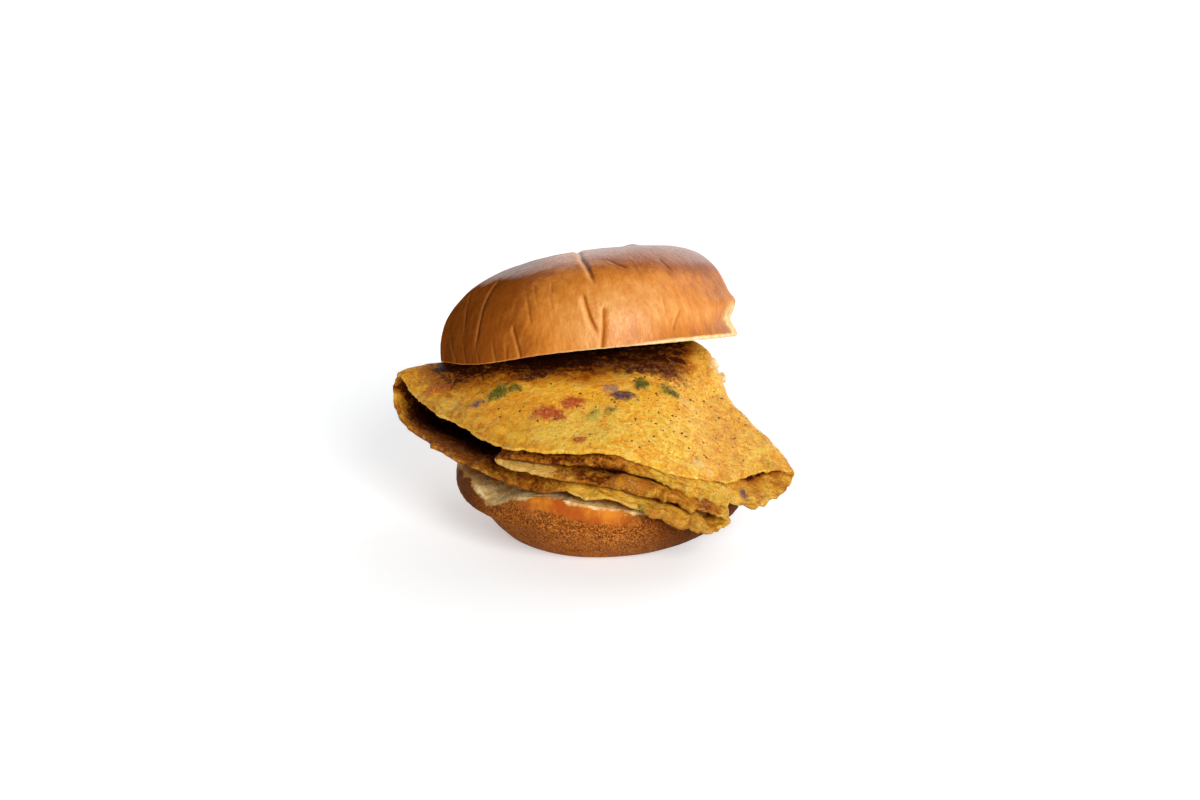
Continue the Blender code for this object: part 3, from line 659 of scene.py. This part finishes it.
def make_crown(material):
    """Domed top half of the bun, with folds, fine wrinkles and a torn right side."""
    turns = 2 * math.pi * np.arange(CROWN_SIDES) / CROWN_SIDES
    angles = turns - 0.38 * np.cos(turns)
    climbs = np.radians(0.6 + 88.6 * np.linspace(0, 1, CROWN_RINGS) ** 1.15)
    angle, climb = np.meshgrid(angles, climbs)
    side = crown_plain(angle, climb)
    height = side[..., 2].copy()
    relief, fold, lip = np.zeros((3,) + height.shape)
    for spots, depth, wide, narrow, tapered in CREASES:
        path = [np.array(spot) if len(spot) == 3 else crown_front(*spot) for spot in spots]
        gap, share = path_gap(side, path)
        groove = np.where(gap > 0, bell(gap, wide), bell(gap, narrow))
        relief -= depth * groove * (between(0, 0.3, 0.7, 1, share) if tapered else 1)
        reach = depth * (between(0, 0.2, 0.8, 1, share) if tapered else 1)
        fold = np.maximum(fold, reach * bell(gap + 0.3, 0.6))
        lip = np.maximum(lip, reach * bell(gap - 0.9 * wide, 0.6 * wide))

    def upright(across, tall):
        """Place on the unrolled crust, counted in grains of the given size."""
        return np.stack([angle * CROWN_RADIUS / across, height / tall, 0 * angle], axis=-1)

    right = bell(turn_between(angle, TEAR_ANGLE), TEAR_SPREAD)
    relief += right * TEAR_LIP * bell(height - TEAR_LIP_HEIGHT, 2.6)
    relief -= right * TEAR_HOLLOW * bell(height - TEAR_HOLLOW_HEIGHT, 3)
    waves = uneven(side, 5)
    rough = waves + 0.6 * uneven(side, 1.8)
    torn = smooth(0.62, 0.88, right + 0.16 * rough) * smooth(12.5, 9.5, height + 2.2 * rough)
    relief += torn * (0.8 * uneven(side, 2.6) + 0.3 * uneven(side, 1.1))
    relief += CROWN_WAVE * uneven(side, 22)
    for x, y, long, wide, rise in CROWN_SWELLS:
        place = bell(side[..., 0] - x, long) * bell(side[..., 1] - y, wide)
        relief += rise * place * smooth(20, 28, height)
    relief += 0.1 * waves + 0.035 * uneven(upright(1.1, 5), 1)
    wrinkled = smooth(0.1, 1, -np.cos(angle + 0.5)) * smooth(24, 2, height)
    relief += grooves(upright(3.2, 20), 0.05 + 0.28 * wrinkled, 0.16)
    side = side + grid_normals(side) * relief[..., None]
    side[..., 2] -= crown_droop(ring_at(angle, CROWN_RADIUS, 0)) * smooth(DROOP_HEIGHT, 0, height)
    under = []
    for share in (0.12, 0.3, 0.5, 0.66, 0.78, 0.86, 0.91, 0.945, 0.97, 0.985, 0.995):
        ring = ring_at(angles, (CROWN_RADIUS + CROWN_STRETCH * np.cos(angles)) * share, 0)
        ring[:, 2] = CROWN_HOLLOW * (1 - share) + 0.15 * (0.6 + uneven(ring, 2.2))
        ring[:, 2] -= crown_droop(ring)
        under.append(ring)
    under = np.array(under)
    points, faces = closed_rings(
        np.concatenate([under, side]), (0, 0, CROWN_HOLLOW), (0, 0, CROWN_HEIGHT))

    # Browning, from pale at 0 to deep at 1.5, with painted shade and painted highlight mixed in
    # Painted shade: darker towards the left side, away from the key light; a little paler towards the right
    toast_and_shading = 0.34 + 0.75 * smooth(0, 0.95, -np.cos(angle - 0.1)) - 0.14 * smooth(0.1, 0.7, np.cos(angle))
    toast_and_shading += 0.13 * smooth(0.75, 0.97, np.cos(angle + 0.35)) * smooth(29, 24, height)
    toast_and_shading += 0.34 * smooth(0.3, 0.9, np.cos(angle + 0.4)) * smooth(11, 2, height)
    toast_and_shading += 0.34 * bell(turn_between(angle, -0.45), 0.4) * smooth(8, 16, height)
    toast_and_shading += (0.2 + 0.4 * smooth(-0.4, 0.7, np.cos(angle))) * smooth(20, 29, height)
    # Painted shade darkens each fold, and a painted highlight lightens the lip beside it
    toast_and_shading += 0.55 * fold - 0.35 * lip
    # Gloss: strongest on the flat top and towards the right, none in the folds
    top = smooth(-1.4, 2.8, height - (28.5 - 2.5 * np.cos(angle) ** 2) + 1.5 * uneven(side, 7))
    gloss = 0.32 * smooth(-0.5, 0.4, np.cos(angle)) * (1 - 0.6 * bell(height - 25, 5))
    gloss += (0.15 + 0.4 * smooth(-0.9, 0.5, np.cos(angle))) * top
    gloss *= 1 - 0.8 * np.minimum(1, fold)
    gloss *= 1 - 0.85 * bell(turn_between(angle, -0.15), 0.42) * smooth(28, 22, height)
    # Crumb: on the cut face, in a thin line above it that is wider at the right, and where it tore; faintly
    # also along the fold lips, as part of their painted highlight
    east = smooth(0.55, 0.95, np.cos(angle + 0.5))
    edge = smooth(1.25, 0.75, (height - 0.25 * uneven(side, 3)) / (0.2 + 1.1 * east))
    crumb = np.maximum(np.maximum(edge * (0.1 + 0.9 * east), 0.9 * torn), 0.12 * lip)
    rim = smooth(0.93, 0.975, np.hypot(under[..., 0], under[..., 1]) / CROWN_RADIUS)
    cut_face = 1 - smooth(0.6, 0.1, np.cos(angles + 0.5)) * rim
    plain = np.ones(under.shape[:2])
    fields = {"toast_and_shading": flat(0.4 * plain, toast_and_shading, (0.4, 0.4)), "crumb": flat(cut_face, crumb, (1, 0)),
              "gloss": flat(0.05 * plain, gloss, (0.05, 0.7))}
    points = points @ np.array(CROWN_TURN).T + np.array(CROWN_CENTRE)
    finish_piece("crown_crust", points, faces, fields, material, "bun_crown")


def crown_underside(x, y):
    """Height of the crown's cut face above the ground."""
    normal = CROWN_TURN @ Vector((0, 0, 1))
    rise = normal.x * (x - CROWN_CENTRE[0]) + normal.y * (y - CROWN_CENTRE[1])
    place = np.stack([x - CROWN_CENTRE[0], (y - CROWN_CENTRE[1]) / normal.z], axis=-1)
    return CROWN_CENTRE[2] - (rise + crown_droop(place)) / normal.z


def heel_top(x, y):
    """Height of the heel's cut face: a low ridge, torn down at the front left."""
    radius = np.hypot(x, y)
    height = HEEL_TOP - HEEL_FALL * HEEL_RIDGE - HEEL_FALL * np.abs(x - HEEL_RIDGE)
    turn = turn_between(np.arctan2(y, x), DIP_ANGLE)
    spread = np.where(turn > 0, DIP_RIGHT_SPREAD, DIP_LEFT_SPREAD)
    height = height - DIP_DEPTH * bell(turn, spread) * smooth(DIP_START, HEEL_RADIUS, radius)
    place = np.stack([x, y, np.zeros(np.shape(x))], axis=-1)
    return height + CUT_WAVE * uneven(place, 12)


def heel_side(angle, height, top):
    """Radius of the heel's crust at a height: a bowl, with a lip that flares at the left."""
    left = bell(turn_between(angle, FLARE_ANGLE), FLARE_SPREAD)
    widest = HEEL_RADIUS + HEEL_STRETCH * np.cos(angle) - HEEL_FLARE * left
    depth = 1 - np.minimum(1, height / HEEL_WIDEST)
    fullness = HEEL_FULLNESS + HEEL_RIGHT_FULLNESS * np.maximum(0, np.cos(angle))
    radius = HEEL_FOOT_RADIUS + (widest - HEEL_FOOT_RADIUS) * (1 - depth ** fullness)
    over = np.maximum(0, height - HEEL_WIDEST) / np.maximum(top - HEEL_WIDEST, 1)
    radius = radius - HEEL_LEAN * over * over
    radius = radius + left * HEEL_FLARE * smooth(FLARE_LOW, FLARE_HIGH, height)
    place = np.stack([np.cos(angle), np.sin(angle), height * 0.04], axis=-1)
    return radius + HEEL_WAVE * uneven(place, 0.6)


def make_heel(material):
    """Bottom half of the bun: porous base, glossy band, torn crumb."""
    angles = 2 * math.pi * np.arange(HEEL_SIDES) / HEEL_SIDES
    edge = heel_top(HEEL_RADIUS * np.cos(angles), HEEL_RADIUS * np.sin(angles))
    none = 0 * angles
    rings = [ring_at(angles, HEEL_FOOT_RADIUS * share, 0) for share in np.linspace(0.08, 0.97, 8)]
    band = [none] * 8
    crumb = [none] * 8
    for share in np.linspace(0.004, 0.985, 62) ** 1.1:
        height = edge * share
        radius = heel_side(angles, height, edge) - HEEL_RIM_ROUND * smooth(0.94, 1, share) ** 2
        ring = ring_at(angles, radius, height)
        out = ring * np.array((1, 1, 0)) / radius[:, None]
        bumps = 0.16 * uneven(ring, 1.9) + 0.25 * uneven(ring, 7)
        rings.append(ring + out * bumps[:, None] * min(1, 6 * share))
        drop = edge - height + 1.3 * uneven(ring, 6) + 0.5 * uneven(ring, 2)
        low = ring * np.array((1, 1, 0.2))
        front = between(-32, -22, 3, 16, ring[:, 0])
        back = (0.75 + 0.5 * uneven(low, 17, 5)) * smooth(0, 20, ring[:, 1])
        reach = (4 + 2.6 * bell(ring[:, 0] + 8, 14)) * (1 + 0.45 * uneven(low, 11, 3))
        band.append(smooth(1.2, 0.9, drop / reach) * np.minimum(1, front + back))
        crumb.append(smooth(1.2, 0.5, drop + 0.4 * uneven(ring, 1.2)))
    for share in np.concatenate([[0.998], np.linspace(0.985, 0.05, 44)]):
        ring = ring_at(angles, (heel_side(angles, edge, edge) - HEEL_RIM_ROUND) * share, 0)
        ring[:, 2] = heel_top(ring[:, 0], ring[:, 1])
        ring[:, 2] += 0.3 * uneven(ring, 1.6) + 0.35 * uneven(ring, 4) - 0.3
        rings.append(ring)
        band.append(none)
        crumb.append(none + 1)
    middle = (0.0, 0.0, float(heel_top(np.array(0.0), np.array(0.0))))
    points, faces = closed_rings(rings, (0, 0, 0), middle)
    # Painted shade: darker at the far left side and at the right, under the overhanging omelette
    painted_shade = smooth(-40, -50, points[:, 0] + 0.35 * (points[:, 1] + 20))
    painted_shade = np.maximum(painted_shade, 0.9 * smooth(2, 30, points[:, 0]))
    painted_shade = np.maximum(painted_shade, 0.2 * smooth(-12, -24, points[:, 0]))
    fields = {"band": flat(band, (0, 0)), "crumb": flat(crumb, (0, 1)), "painted_shade": painted_shade}
    finish_piece("heel_crust", points, faces, fields, material, "bun_heel")


def fold_controls():
    """Control points of the folded edge: point, layer, share from left to right, fineness."""
    controls = []
    for spots, layer, low, high, steps in (
            (TOP_LAYER_EDGE[::-1], 1, 0.97, 0.05, 22), (OUTER_NOSE[:1], 1.05, 0, 0, 18),
            (OUTER_NOSE[1:], 2.5, -0.04, -0.04, 18), (LOWEST_LAYER_EDGE, 4, 0.05, 0.9, 12),
            (LOWER_FOLD, 3.5, 0.95, 0.95, 10), (THIRD_LAYER_EDGE[::-1], 3, 0.9, 0.3, 14),
            (INNER_NOSE, 2.5, 0.24, 0.24, 10), (SECOND_LAYER_EDGE, 2, 0.3, 0.97, 10),
            (UPPER_FOLD, 1.5, 1.03, 1.03, 12)):
        first = spots[0][0]
        length = spots[-1][0] - first or 1
        for spot in spots:
            share = low + (high - low) * (spot[0] - first) / length
            controls.append((np.array(spot), layer, share, steps))
    return controls


def soft_min(a, b, blend):
    """Smaller of two lengths, with a rounded change between them."""
    t = max(0, min(1, 0.5 + 0.5 * (b - a) / blend))
    return b + (a - b) * t - blend * t * (1 - t)


def stack_height(x, y, layer, fullness):
    """Height of a layer's middle between the heel and the crown, layer 1 on top."""
    low = float(heel_top(np.array(x), np.array(y))) + REST_GAP + SHEET_BACK / 2
    high = crown_underside(x, y) - REST_GAP - SHEET_BACK / 2
    high = soft_min(high, TENT_TOP + TENT_SLOPE * max(0, x), TENT_BLEND)
    middle = 0.5 * (low + high)
    half_slot = 0.5 * (SHEET_BACK + SLOT_GAP)
    if layer > 3:
        share = 4 - layer
        return low + (middle - half_slot - low) * (0.5 + (share - 0.5) * fullness)
    if layer <= 2:
        share = layer - 1
        return high + (middle + half_slot - high) * (0.5 + (share - 0.5) * fullness)
    return middle + half_slot * 2 * (2.5 - layer)


def sheet_controls(along, controls):
    """The sheet's control points at a station, from 0 at the front edge to 1 at the back."""
    result = []
    fullness = 1 - END_ROUND * float(smooth(END_START, 1, along)) ** 2
    for edge, layer, share, _ in controls:
        back_x = APEX[0] + APEX_WIDTH * (share - 0.5)
        back_y = APEX[1] - APEX_TURN * APEX_WIDTH * (share - 0.5)
        bow = FOLD_BOW * math.sin(math.pi * along) + FOLD_NOTCH * bell(along - NOTCH_AT, NOTCH_LENGTH)
        bow *= float(smooth(0.6, 1, share))
        x = edge[0] + (back_x - edge[0]) * along - bow * (1 if layer <= 2 else 0)
        y = edge[1] + (back_y - edge[1]) * along
        top_reach = TOP_REACH_LEFT + (TOP_REACH_RIGHT - TOP_REACH_LEFT) * share
        mix = float(smooth(1, 2.2, layer))
        t = min(1, along / (top_reach + (LOW_REACH - top_reach) * mix))
        settle = 1.5 * t - 0.5 * t ** 3
        inside = stack_height(x, y, layer, fullness)
        inside += SHEET_WAVE * noise.noise((x / 26, y / 26, layer * 20 / 26))
        z = edge[2] + (inside - edge[2]) * settle
        if layer in SWELLS:
            rise, at, length, window = SWELLS[layer]
            z += rise * bell(along - at, length) * float(between(*window, edge[0]))
        result.append((x, y, z))
    return np.array(result)


def loop_basis(controls):
    """Weights that turn the control points into a smooth closed loop of samples."""
    count = len(controls)
    edge = np.array([c[0] for c in controls])
    gaps = np.linalg.norm(np.roll(edge, -1, axis=0) - edge, axis=1)
    unit = np.eye(count)
    slopes = []
    for i in range(count):
        before, after = gaps[i - 1], gaps[i]
        step_in = (unit[i] - unit[i - 1]) / before
        step_out = (unit[(i + 1) % count] - unit[i]) / after
        slopes.append((step_in * after + step_out * before) / (before + after))
    rows = []
    layers = []
    for i in range(count):
        j = (i + 1) % count
        steps = controls[i][3]
        for k in range(steps):
            t = k / steps
            row = (2 * t ** 3 - 3 * t ** 2 + 1) * unit[i] + (3 * t ** 2 - 2 * t ** 3) * unit[j]
            row = row + (t ** 3 - 2 * t ** 2 + t) * gaps[i] * slopes[i]
            rows.append(row + (t ** 3 - t ** 2) * gaps[i] * slopes[j])
            layers.append(controls[i][1] + (controls[j][1] - controls[i][1]) * t)
    return np.array(rows), np.array(layers)


def keep_between_halves(points):
    """Lift points clear of the heel and press them clear of the crown."""
    x, y = points[..., 0], points[..., 1]
    angle = np.arctan2(y, x)
    edge = heel_top(HEEL_RADIUS * np.cos(angle), HEEL_RADIUS * np.sin(angle))
    beyond = np.hypot(x, y) - heel_side(angle, edge, edge) - RIM_CLEARANCE
    floor = heel_top(x, y) + REST_GAP - OVERHANG_FALL * np.maximum(0, beyond)
    points[..., 2] = np.maximum(points[..., 2], floor)
    beside = np.hypot(x - CROWN_CENTRE[0], (y - CROWN_CENTRE[1]) * math.cos(CROWN_TILT))
    ceiling = crown_underside(x, y) - REST_GAP
    pressed = np.minimum(points[..., 2], ceiling)
    points[..., 2] = np.where(beside < CROWN_RADIUS + CROWN_MARGIN, pressed, points[..., 2])
    return points


def stronger(first, second):
    """Second stain where it is stronger than the first."""
    return np.where(second[..., 3:] > first[..., 3:], second, first)


def layer_brown_and_shade(layers, x):
    """Browning and painted shade of each layer of the sheet by its sideways place."""
    curves = np.array([np.interp(x, *zip(*stops)) for _, stops in LAYER_BROWN_AND_SHADE])
    marks = np.array([mark for mark, _ in LAYER_BROWN_AND_SHADE])
    place = np.interp(np.clip(layers, marks[0], marks[-1]), marks, np.arange(len(marks)))
    low = np.minimum(place.astype(int), len(marks) - 2)
    share = np.broadcast_to(place - low, x.shape)
    low = np.broadcast_to(low, x.shape)[None]
    lower = np.take_along_axis(curves, low, axis=0)[0]
    upper = np.take_along_axis(curves, low + 1, axis=0)[0]
    return lower + (upper - lower) * share


def paint_bits(points, bits, warp, allowed, depth=7):
    """Colour and strength of the vegetable stains at each point, and how far each stands out."""
    stain = np.zeros(points.shape[:2] + (4,))
    rise = np.zeros(points.shape[:2])
    for colour, middle, length, width, turn, strength in bits:
        away = points - np.array(middle)
        turn = math.radians(turn)
        along = (away[..., 0] * math.cos(turn) + away[..., 1] * math.sin(turn)) / (0.5 * length)
        across = (away[..., 1] * math.cos(turn) - away[..., 0] * math.sin(turn)) / (0.5 * width)
        gap = np.sqrt(along ** 2 + across ** 2 + (away[..., 2] / depth) ** 2)
        share = smooth(1.7, 0.4, gap + 0.6 * warp) * allowed
        layer = np.stack([np.full(share.shape, part) for part in colour] + [share * strength], -1)
        stain = stronger(stain, layer)
        if colour not in (BROWN_AND_SHADOW, SCORCH_AND_SHADOW, EMBER_AND_SHADOW):
            rise = np.maximum(rise, share)
    return stain, rise


def close_seam(face, moved, other, gap, share):
    """Bring the columns of one layer near its rim up or down to a gap from those of the layer beside it."""
    for row in range(min(len(face), len(share))):
        x = face[row, other, 0]
        order = np.argsort(x)
        target = np.interp(face[row, moved, 0], x[order], face[row, other, 2][order]) + gap
        face[row, moved, 2] += (target - face[row, moved, 2]) * share[row, moved]


def make_omelette(material):
    """Folded sheet with a ragged raw edge, pockets and cooked surface."""
    controls = fold_controls()
    basis, layers = loop_basis(controls)
    stations = np.concatenate([
        np.linspace(0, 0.03, 7), np.linspace(0.036, 0.56, 84), np.linspace(0.58, 1, 20)])
    grid = np.array([basis @ sheet_controls(v, controls) for v in stations])
    count = grid.shape[1]
    v = stations[:, None]

    # Frayed rims and the unevenness of the sheet
    edge = grid[0]
    inward = grid[8] - grid[0]
    inward /= np.linalg.norm(inward, axis=1, keepdims=True)
    frayed = 1 + 1.6 * smooth(8, 25, edge[:, 0]) * smooth(1.7, 2, layers)
    ragged = 0.7 * uneven(edge, 9) + 0.7 * uneven(edge, 3.2, 9) + 0.5 * uneven(edge, 1.3, 4)
    ragged -= 2.4 * bell(edge[:, 0] + 57, 1.1) * smooth(3.7, 4, layers)
    grid = grid + inward * (ragged * frayed * smooth(0.07, 0, v))[..., None]
    lift = 0.55 * uneven(grid, 14) + 0.3 * uneven(grid, 5, 3)
    grid = grid - grid_normals(grid) * (lift * smooth(0, 0.04, v))[..., None]
    normals = -grid_normals(grid)

    # Both faces of the sheet; the inner one ends where the pockets do
    half = SHEET_EDGE + (SHEET_FRONT - SHEET_EDGE) * smooth(0, 0.04, v)
    half = 0.5 * (half + (SHEET_BACK - SHEET_FRONT) * smooth(0.12, 0.5, v))
    half = half * (1 + 0.3 * uneven(grid, 5, 7) * smooth(0.3, 0, v))
    end = np.sqrt(1 - 0.9 * smooth(0.93, 1, v))
    skin = 0.2 * uneven(grid, 2.2, 5) + 0.1 * uneven(grid, 1, 5)
    skin *= 1 + 1.6 * smooth(50, 60, grid[..., 0])
    outside = grid + normals * (half * end + skin)[..., None]
    rows_in = int(np.sum(stations <= POCKET_END))
    inside = (grid - normals * (half + skin)[..., None])[:rows_in]
    on_top = (layers < 1.25) * np.ones_like(v)
    warp = uneven(outside, 2.2, 2) + 0.6 * uneven(outside, 0.9)
    ridge = bell(v - 0.022, 0.007) + 0.8 * bell(v - 0.048, 0.008) + 0.5 * bell(v - 0.078, 0.009)
    ridge = ridge * on_top * between(-4, 10, 38, 48, outside[..., 0])
    outside = outside + normals * (0.55 * ridge * (0.6 + 0.8 * warp))[..., None]
    stain, rise = paint_bits(outside, BITS, warp, on_top)
    tint, _ = paint_bits(outside, TINTS, 0.8 * uneven(outside, 5, 8) + 0.3 * warp, on_top)
    outside[..., 2] += BIT_RISE * rise * (0.7 + 0.3 * warp)
    outside = keep_between_halves(outside)
    inside = keep_between_halves(inside)

    # Rims of neighbouring layers that lie close together at the front
    first, second, third, fourth = [np.nonzero(np.abs(layers - k) < 0.3)[0] for k in (1, 2, 3, 4)]
    x = grid[..., 0]
    deep = smooth(0.06, 0.02, v)
    ripple = 0.4 * uneven(edge, 4, 21)
    for face, moved, other, window, gap, strength in (
            (inside, second, first, (-14, 6, 40, 46), -0.35, 0.97),
            (outside, third, second, (-2, 8, 30, 36), -0.9 + ripple[third], 0.9),
            (inside, fourth, third, (12, 24, 32, 37), -0.5 + ripple[fourth], 0.85)):
        close_seam(face, moved, other, gap, strength * deep * between(*window, x))

    # Raw rim between the faces
    shares = (0.2, 0.4, 0.6, 0.8)
    rims = np.array([outside[0] + (inside[0] - outside[0]) * share for share in shares])
    bulge = 0.35 * uneven(rims, 1.2, 11) + 0.45 * np.sin(math.pi * np.array(shares))[:, None]
    rim_brown_and_shade = 0.8 * layer_brown_and_shade(layers, rims[..., 0]) + 0.15 * uneven(rims, 4, 6)
    rims = (rims - inward * bulge[..., None])[::-1]

    # Colour fields
    def stained(points, bits, warp, layer, depth):
        """Stains on the layers from a number on."""
        return paint_bits(points, bits, warp, (layers > layer) * np.ones(points.shape[:2]), depth)[0]

    stain = stronger(stain, stained(outside, LOWER_BITS, warp, 2.4, 3.5))
    stain_in = stained(inside, INNER_BITS, uneven(inside, 1.6, 2), 0, 7)
    warp = uneven(rims, 1.6, 2)
    stain_rim = stronger(stained(rims, INNER_BITS, warp, 1.5, 3.5), stained(rims, LOWER_BITS, warp, 2.4, 3.5))
    brown_and_shade = layer_brown_and_shade(layers, outside[..., 0])
    brown_and_shade += 0.15 * smooth(0.05, 0, v) * (0.5 + 0.5 * uneven(outside, 6))
    # Painted shadow on the top layer where it runs under the crown, strongest along the back
    x, y = outside[..., 0], outside[..., 1] + 4 * uneven(outside, 9)
    brown_and_shade += 1.05 * on_top * between(-72, -38, 25, 36, x) * smooth(-9, 7, y)
    brown_and_shade += 0.7 * on_top * between(-62, -48, -14, 14, x) * smooth(-18, -4, y)
    x, v_in = inside[..., 0], v[:rows_in]
    # Painted shade deep inside the pockets, strongest at the left and at the right end
    nose = smooth(-52, -62, x)
    pocket = smooth(0.03 - 0.02 * nose, 0.13 - 0.08 * nose, v_in) * (0.35 + 0.85 * smooth(-25, -40, x))
    pocket = np.maximum(pocket, 1.3 * smooth(0.06, 0.11, v_in) * smooth(40, 46, x))
    brown_and_shade_in = 0.8 * layer_brown_and_shade(layers, x) + pocket
    flaky = smooth(0.09, 0.02, v) * smooth(1, 1.6, layers)
    flaky_rim = smooth(0.9, 1.6, layers) * np.ones(rims.shape[:2])
    no_tint = np.zeros(4 * count)

    points = np.concatenate([part.reshape(-1, 3) for part in (rims, outside, inside)])
    rows = len(rims) + len(outside)
    start_in = rows * count
    faces = grid_faces(0, rows, count) + grid_faces(start_in, rows_in, count)
    faces += ring_faces(start_in, 0, count)
    # The outlines where the two faces end, in metres, are filled with triangles
    for ring, start in ((outside[-1], start_in - count), (inside[-1], len(points) - count)):
        outline = [Vector((p[0], p[2], 0)) * MM for p in ring]
        faces += [tuple(start + k for k in triangle) for triangle in tessellate_polygon([outline])]
    fields = {
        "stain": flat(stain_rim, stain, stain_in).reshape(-1, 4),
        "brown_and_shade": flat(rim_brown_and_shade[::-1], brown_and_shade, brown_and_shade_in),
        "flaky": flat(flaky_rim, flaky, flaky[:rows_in]),
        "tint": flat([no_tint] * len(rims), tint, [no_tint] * rows_in).reshape(-1, 4),
        "grain": 0.15 + 0.85 * smooth(0, 50, points[:, 0])}
    finish_piece("omelette_sheet", points, faces, fields, material, "omelette")
    return outside, on_top


def make_pepper(outside, on_top, material):
    """Specks of ground pepper pressed into the top layer, fewer at its left."""
    rng = random.Random(11)
    normals = grid_normals(outside)
    rows, cols = np.nonzero(on_top > 0.5)
    picks = [(r, c) for r, c in zip(rows, cols) if outside[r, c, 1] < 4 and r > 7]
    points = []
    faces = []
    for _ in range(PEPPER_SPECKS):
        r, c = picks[rng.randrange(len(picks))]
        place = Vector(outside[r, c])
        if rng.random() > 0.35 + 0.65 * float(smooth(-45, 5, place.x)):
            continue
        size = rng.uniform(0.16, 0.5)
        normal = Vector(normals[r, c])
        if normal.z < 0:
            normal = -normal
        sideways = normal.orthogonal().normalized()
        other = normal.cross(sideways)
        start = len(points)
        for k in range(PEPPER_SIDES):
            turn = 2 * math.pi * k / PEPPER_SIDES
            out = sideways * math.cos(turn) * 1.2 + other * math.sin(turn)
            points.append(place + out * size * rng.uniform(0.7, 1.25))
            following = start + (k + 1) % PEPPER_SIDES
            faces.append((start + k, following, start + PEPPER_SIDES))
            faces.append((following, start + k, start + PEPPER_SIDES + 1))
        points += [place + normal * size * 0.55, place - normal * size * 0.6]
    finish_piece("ground_pepper", [tuple(p) for p in points], faces, {}, material, None)


def make_bits(material):
    """Soft pieces of onion and egg that stick out of the sheet's right side."""
    points = []
    faces = []
    for middle, sizes in SIDE_BITS:
        work = bmesh.new()
        bmesh.ops.create_icosphere(work, subdivisions=4, radius=1)
        faces += [tuple(len(points) + v.index for v in face.verts) for face in work.faces]
        ball = np.array([v.co[:] for v in work.verts])
        work.free()
        ball *= (1 + 0.35 * uneven(ball, 0.9, middle[0]) + 0.12 * uneven(ball, 0.3, middle[2]))[:, None]
        points += (ball * np.array(sizes) + np.array(middle)).tolist()
    finish_piece("side_bits", points, faces, {}, material, None)


def bits_material():
    """Translucent cooked onion with egg on it."""
    n, material = new_material("cooked_onion")
    patch = n.noise(420, 4, 0.65)
    colour = n.mix(n.ramp(patch, 0.4, 0.6), (0.86, 0.7, 0.46), (0.62, 0.42, 0.18))
    n.put(Base_Color=n.mix(n.ramp(patch, 0.62, 0.72), colour, (0.42, 0.22, 0.16)), Roughness=0.35)
    n.bumps((patch, 0.0006, 0.7), (n.noise(1500), 0.0002, 0.8))
    n.soften(0.3, (1, 0.7, 0.4), 0.0015)
    return material


def make_floor():
    """Plain pale floor."""
    mesh = bpy.data.meshes.new("floor")
    corners = [(-4.0, -4.0, 0.0), (4.0, -4.0, 0.0), (4.0, 4.0, 0.0), (-4.0, 4.0, 0.0)]
    mesh.from_pydata(corners, [], [(0, 1, 2, 3)])
    n, material = new_material("floor_white")
    n.put(Base_Color=(0.665, 0.68, 0.695), Roughness=0.9, Specular_IOR_Level=0.1,
          Emission_Color=(1, 1, 1), Emission_Strength=0.44)
    mesh.materials.append(material)
    new_object("floor", mesh)


def add_sun(name, strength, softness, toward, tint):
    """Soft parallel light that shines from the given direction."""
    light = bpy.data.lights.new(name, "SUN")
    light.energy = strength
    light.angle = math.radians(softness)
    light.color = tint
    new_object(name, light).rotation_euler = Vector(toward).to_track_quat("Z", "Y").to_euler()


def make_lights():
    """Key from the right and front, a softer top light, and a sky that is dim at the left."""
    add_sun("key", 3.15, 30, (0.4, -0.79, 0.47), (1, 0.985, 0.96))
    add_sun("top", 0.72, 50, (0.6, 0.38, 0.7), (1, 1, 1))
    world = bpy.data.worlds.new("sky")
    bpy.context.scene.world = world
    world.use_nodes = True
    n = Nodes(world.node_tree, "Background")
    toward = n.node("SeparateXYZ", Vector=n.place("Generated")).outputs
    # A pale screen low down behind the object, and a weak light from the right and from above
    screen = n.times(n.ramp(toward["Y"], 0.3, 0.55), n.ramp(toward["Z"], 0.72, 0.6), 1.6)
    side = n.times(n.most(toward["X"], 0), 0.3)
    above = n.times(n.most(toward["Z"], 0), 0.1)
    n.put(Strength=n.plus(side, screen, above, 0.04), Color=(1, 1, 1))


def make_camera():
    """Camera at the height and distance from which the photograph was taken."""
    data = bpy.data.cameras.new("camera")
    data.lens = CAMERA_LENS
    data.sensor_width = 36
    data.sensor_fit = "HORIZONTAL"
    camera = new_object("camera", data)
    camera.location = (
        0, -CAMERA_DISTANCE * math.cos(CAMERA_ELEVATION),
        CAMERA_AIM_HEIGHT + CAMERA_DISTANCE * math.sin(CAMERA_ELEVATION))
    camera.rotation_euler = (math.pi / 2 - CAMERA_ELEVATION, 0, 0)
    bpy.context.scene.camera = camera
    bpy.context.scene.view_settings.view_transform = "Standard"


make_camera()
make_lights()
make_floor()
make_heel(heel_material())
make_crown(crust_material())
make_pepper(*make_omelette(egg_material()), pepper_material())
make_bits(bits_material())
